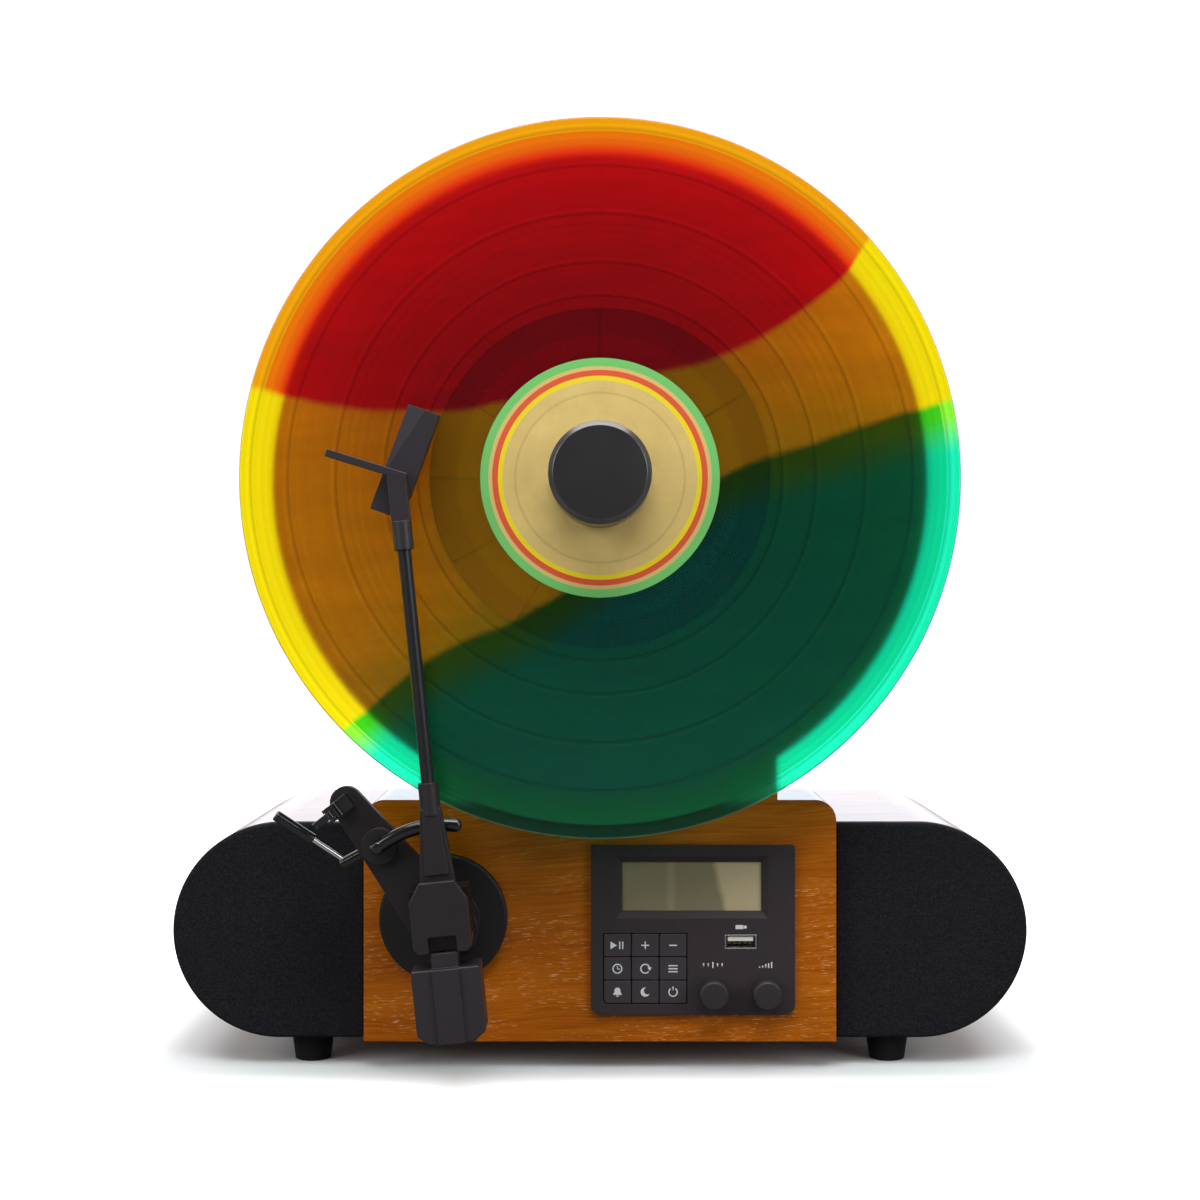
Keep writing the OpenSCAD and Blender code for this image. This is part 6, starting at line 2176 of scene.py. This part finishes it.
    def build_marks(self) -> None:
        """Prints plain marks by the knobs and the slot: a scale, a rising wedge and a stick."""
        t, rise = self.line, self.mark_rise
        scale = [self.bar(x, 0.0, t, 2.6 if x == 0 else 1.5) for x in np.linspace(-4.0, 4.0, 5)]
        wedge = [self.bar(x, h / 2 - 1.3, t, h) for x, h in zip(np.linspace(-2.6, 2.6, 5),
                                                                np.linspace(0.6, 2.6, 5))]
        stick = [rectangle((-2.2, -0.9), (1.2, 0.9), 0.3), self.bar(2.0, 0.0, 1.2, 1.2)]
        base = self.site.on_board(0.0, 0.0)
        shells = []
        for bench, outlines in (
                (self.site.at_joint("tune_knob_turn").at(0.0, rise), scale),
                (self.site.at_joint("volume_knob_turn").at(0.0, rise), wedge),
                (self.site.on_board(*self.slot_middle).at(0.0, self.slot_mark_rise), stick)):
            shells.append(self.printed(outlines, self.face).moved(bench, base))
        self.site.add("panel_marks", Shell.joined(*shells), base, FINISH.ink, "base")

    def build(self) -> None:
        """Builds the keys, knobs, slot and marks and dresses the panel."""
        for sign in Pictogram:
            self.build_key(sign)
        for name in ("tune", "volume"):
            self.build_knob(name)
        self.build_slot()
        self.build_marks()
        self.site.dress(FINISH.panel, "control_fascia")
        self.site.dress(FINISH.window, "display_window")
        self.site.dress(FINISH.circuit, "display_module")
        self.site.dress(FINISH.steel, "rotary_controls", "usb_socket")


@dataclass(frozen=True)
class SoftBox:
    """A soft light: where it hangs, the point that it faces, its size and its power in watts."""

    name: str
    place: Triple
    aim: Triple
    size: Pair
    watts: float

    def hang(self) -> None:
        """Hangs the light in the scene."""
        data = bpy.data.lights.new(self.name, "AREA")
        data.shape, data.energy = "RECTANGLE", self.watts
        data.size, data.size_y = (side * MM for side in self.size)
        light = bpy.data.objects.new(self.name, data)
        light.location = [c * MM for c in self.place]
        bench = Bench.world().aimed(np.array(self.place) - np.array(self.aim))
        light.rotation_euler = Matrix(bench.axes.T.tolist()).to_euler()
        bpy.context.scene.collection.objects.link(light)


@dataclass
class Studio:
    """The floor, light and camera around the player."""

    eye: Triple = (0.0, -829.7, 204.0)
    lens: float = 54.54
    sensor: float = 36.0
    clip: Pair = (0.01, 50.0)
    floor_half: float = 6000.0
    bright: float = 1.05
    dim: float = 0.06
    dim_span: Pair = (-0.2, 0.6)
    gleam: Colour = (1.49, 1.78, 2.0)
    gleam_span: Pair = (0.3, 0.8)
    lights: tuple[SoftBox, ...] = (
        SoftBox("overhead", (0.0, -250.0, 1700.0), (0.0, 0.0, 0.0), (1800.0, 1400.0), 20.0),
        SoftBox("high_front", (0.0, -1100.0, 1650.0), (0.0, 0.0, 200.0), (1300.0, 700.0), 15.0),
        SoftBox("left_fill", (-1500.0, -1250.0, 900.0), (0.0, 0.0, 200.0), (900.0, 900.0), 13.0),
        SoftBox("right_fill", (1500.0, -1250.0, 800.0), (0.0, 0.0, 200.0), (900.0, 900.0), 11.0))

    def build_camera(self) -> None:
        """Stands the camera level in front of the player."""
        data = bpy.data.cameras.new("front_camera")
        data.sensor_width, data.lens = self.sensor, self.lens
        data.clip_start, data.clip_end = self.clip
        camera = bpy.data.objects.new("front_camera", data)
        camera.location = [c * MM for c in self.eye]
        camera.rotation_euler = (QUARTER_TURN, 0.0, 0.0)
        bpy.context.scene.collection.objects.link(camera)
        bpy.context.scene.camera = camera

    def build_floor(self) -> None:
        """Lays a pale floor as the stage."""
        h = self.floor_half * MM
        mesh = bpy.data.meshes.new("floor")
        mesh.from_pydata([(-h, -h, 0), (h, -h, 0), (h, h, 0), (-h, h, 0)], [], [(0, 1, 2, 3)])
        mesh.materials.append(FINISH.floor.material())
        floor = bpy.data.objects.new("floor", mesh)
        bpy.context.scene.collection.objects.link(floor)

    def build_world(self) -> None:
        """Fills the room with light: white behind, dim in front, and brightest in low gloss."""
        world = bpy.data.worlds.new("studio")
        world.use_nodes = True
        bpy.context.scene.world = world
        graph = Graph(world.node_tree)
        back = world.node_tree.nodes["Background"]
        _, y, _ = graph.split(graph.add("TexCoord").outputs["Generated"])
        rays = graph.add("LightPath").outputs
        level = graph.span(y, *self.dim_span, self.dim, self.bright)
        mirrored = graph.math("SUBTRACT", rays["Is Glossy Ray"], rays["Is Transmission Ray"],
                              clamp=True)
        low = graph.math("MULTIPLY", graph.span(y, *self.gleam_span), mirrored)
        shown = [graph.math("MAXIMUM", graph.math("MULTIPLY_ADD", low, part - self.bright, level),
                            rays["Is Camera Ray"]) for part in self.gleam]
        graph.feed(back.inputs["Color"], graph.add("CombineColor", dict(enumerate(shown))).outputs[0])

    def build(self) -> None:
        """Builds the camera, floor, room and lights."""
        bpy.context.scene.view_settings.view_transform = "Standard"
        self.build_camera()
        self.build_floor()
        self.build_world()
        for light in self.lights:
            light.hang()


def main() -> None:
    """Loads the frame and builds the studio and each sub-assembly around it."""
    logging.basicConfig(level=logging.INFO, format="%(name)s: %(message)s")
    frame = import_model()
    site = Site(frame)
    Studio().build()
    for assembly in (Cabinet(site), Turntable(site), Tonearm(site), ArmRest(site), ControlPanel(site)):
        assembly.build()
        LOG.info("%s is built", type(assembly).__name__)


if __name__ == "__main__":
    main()
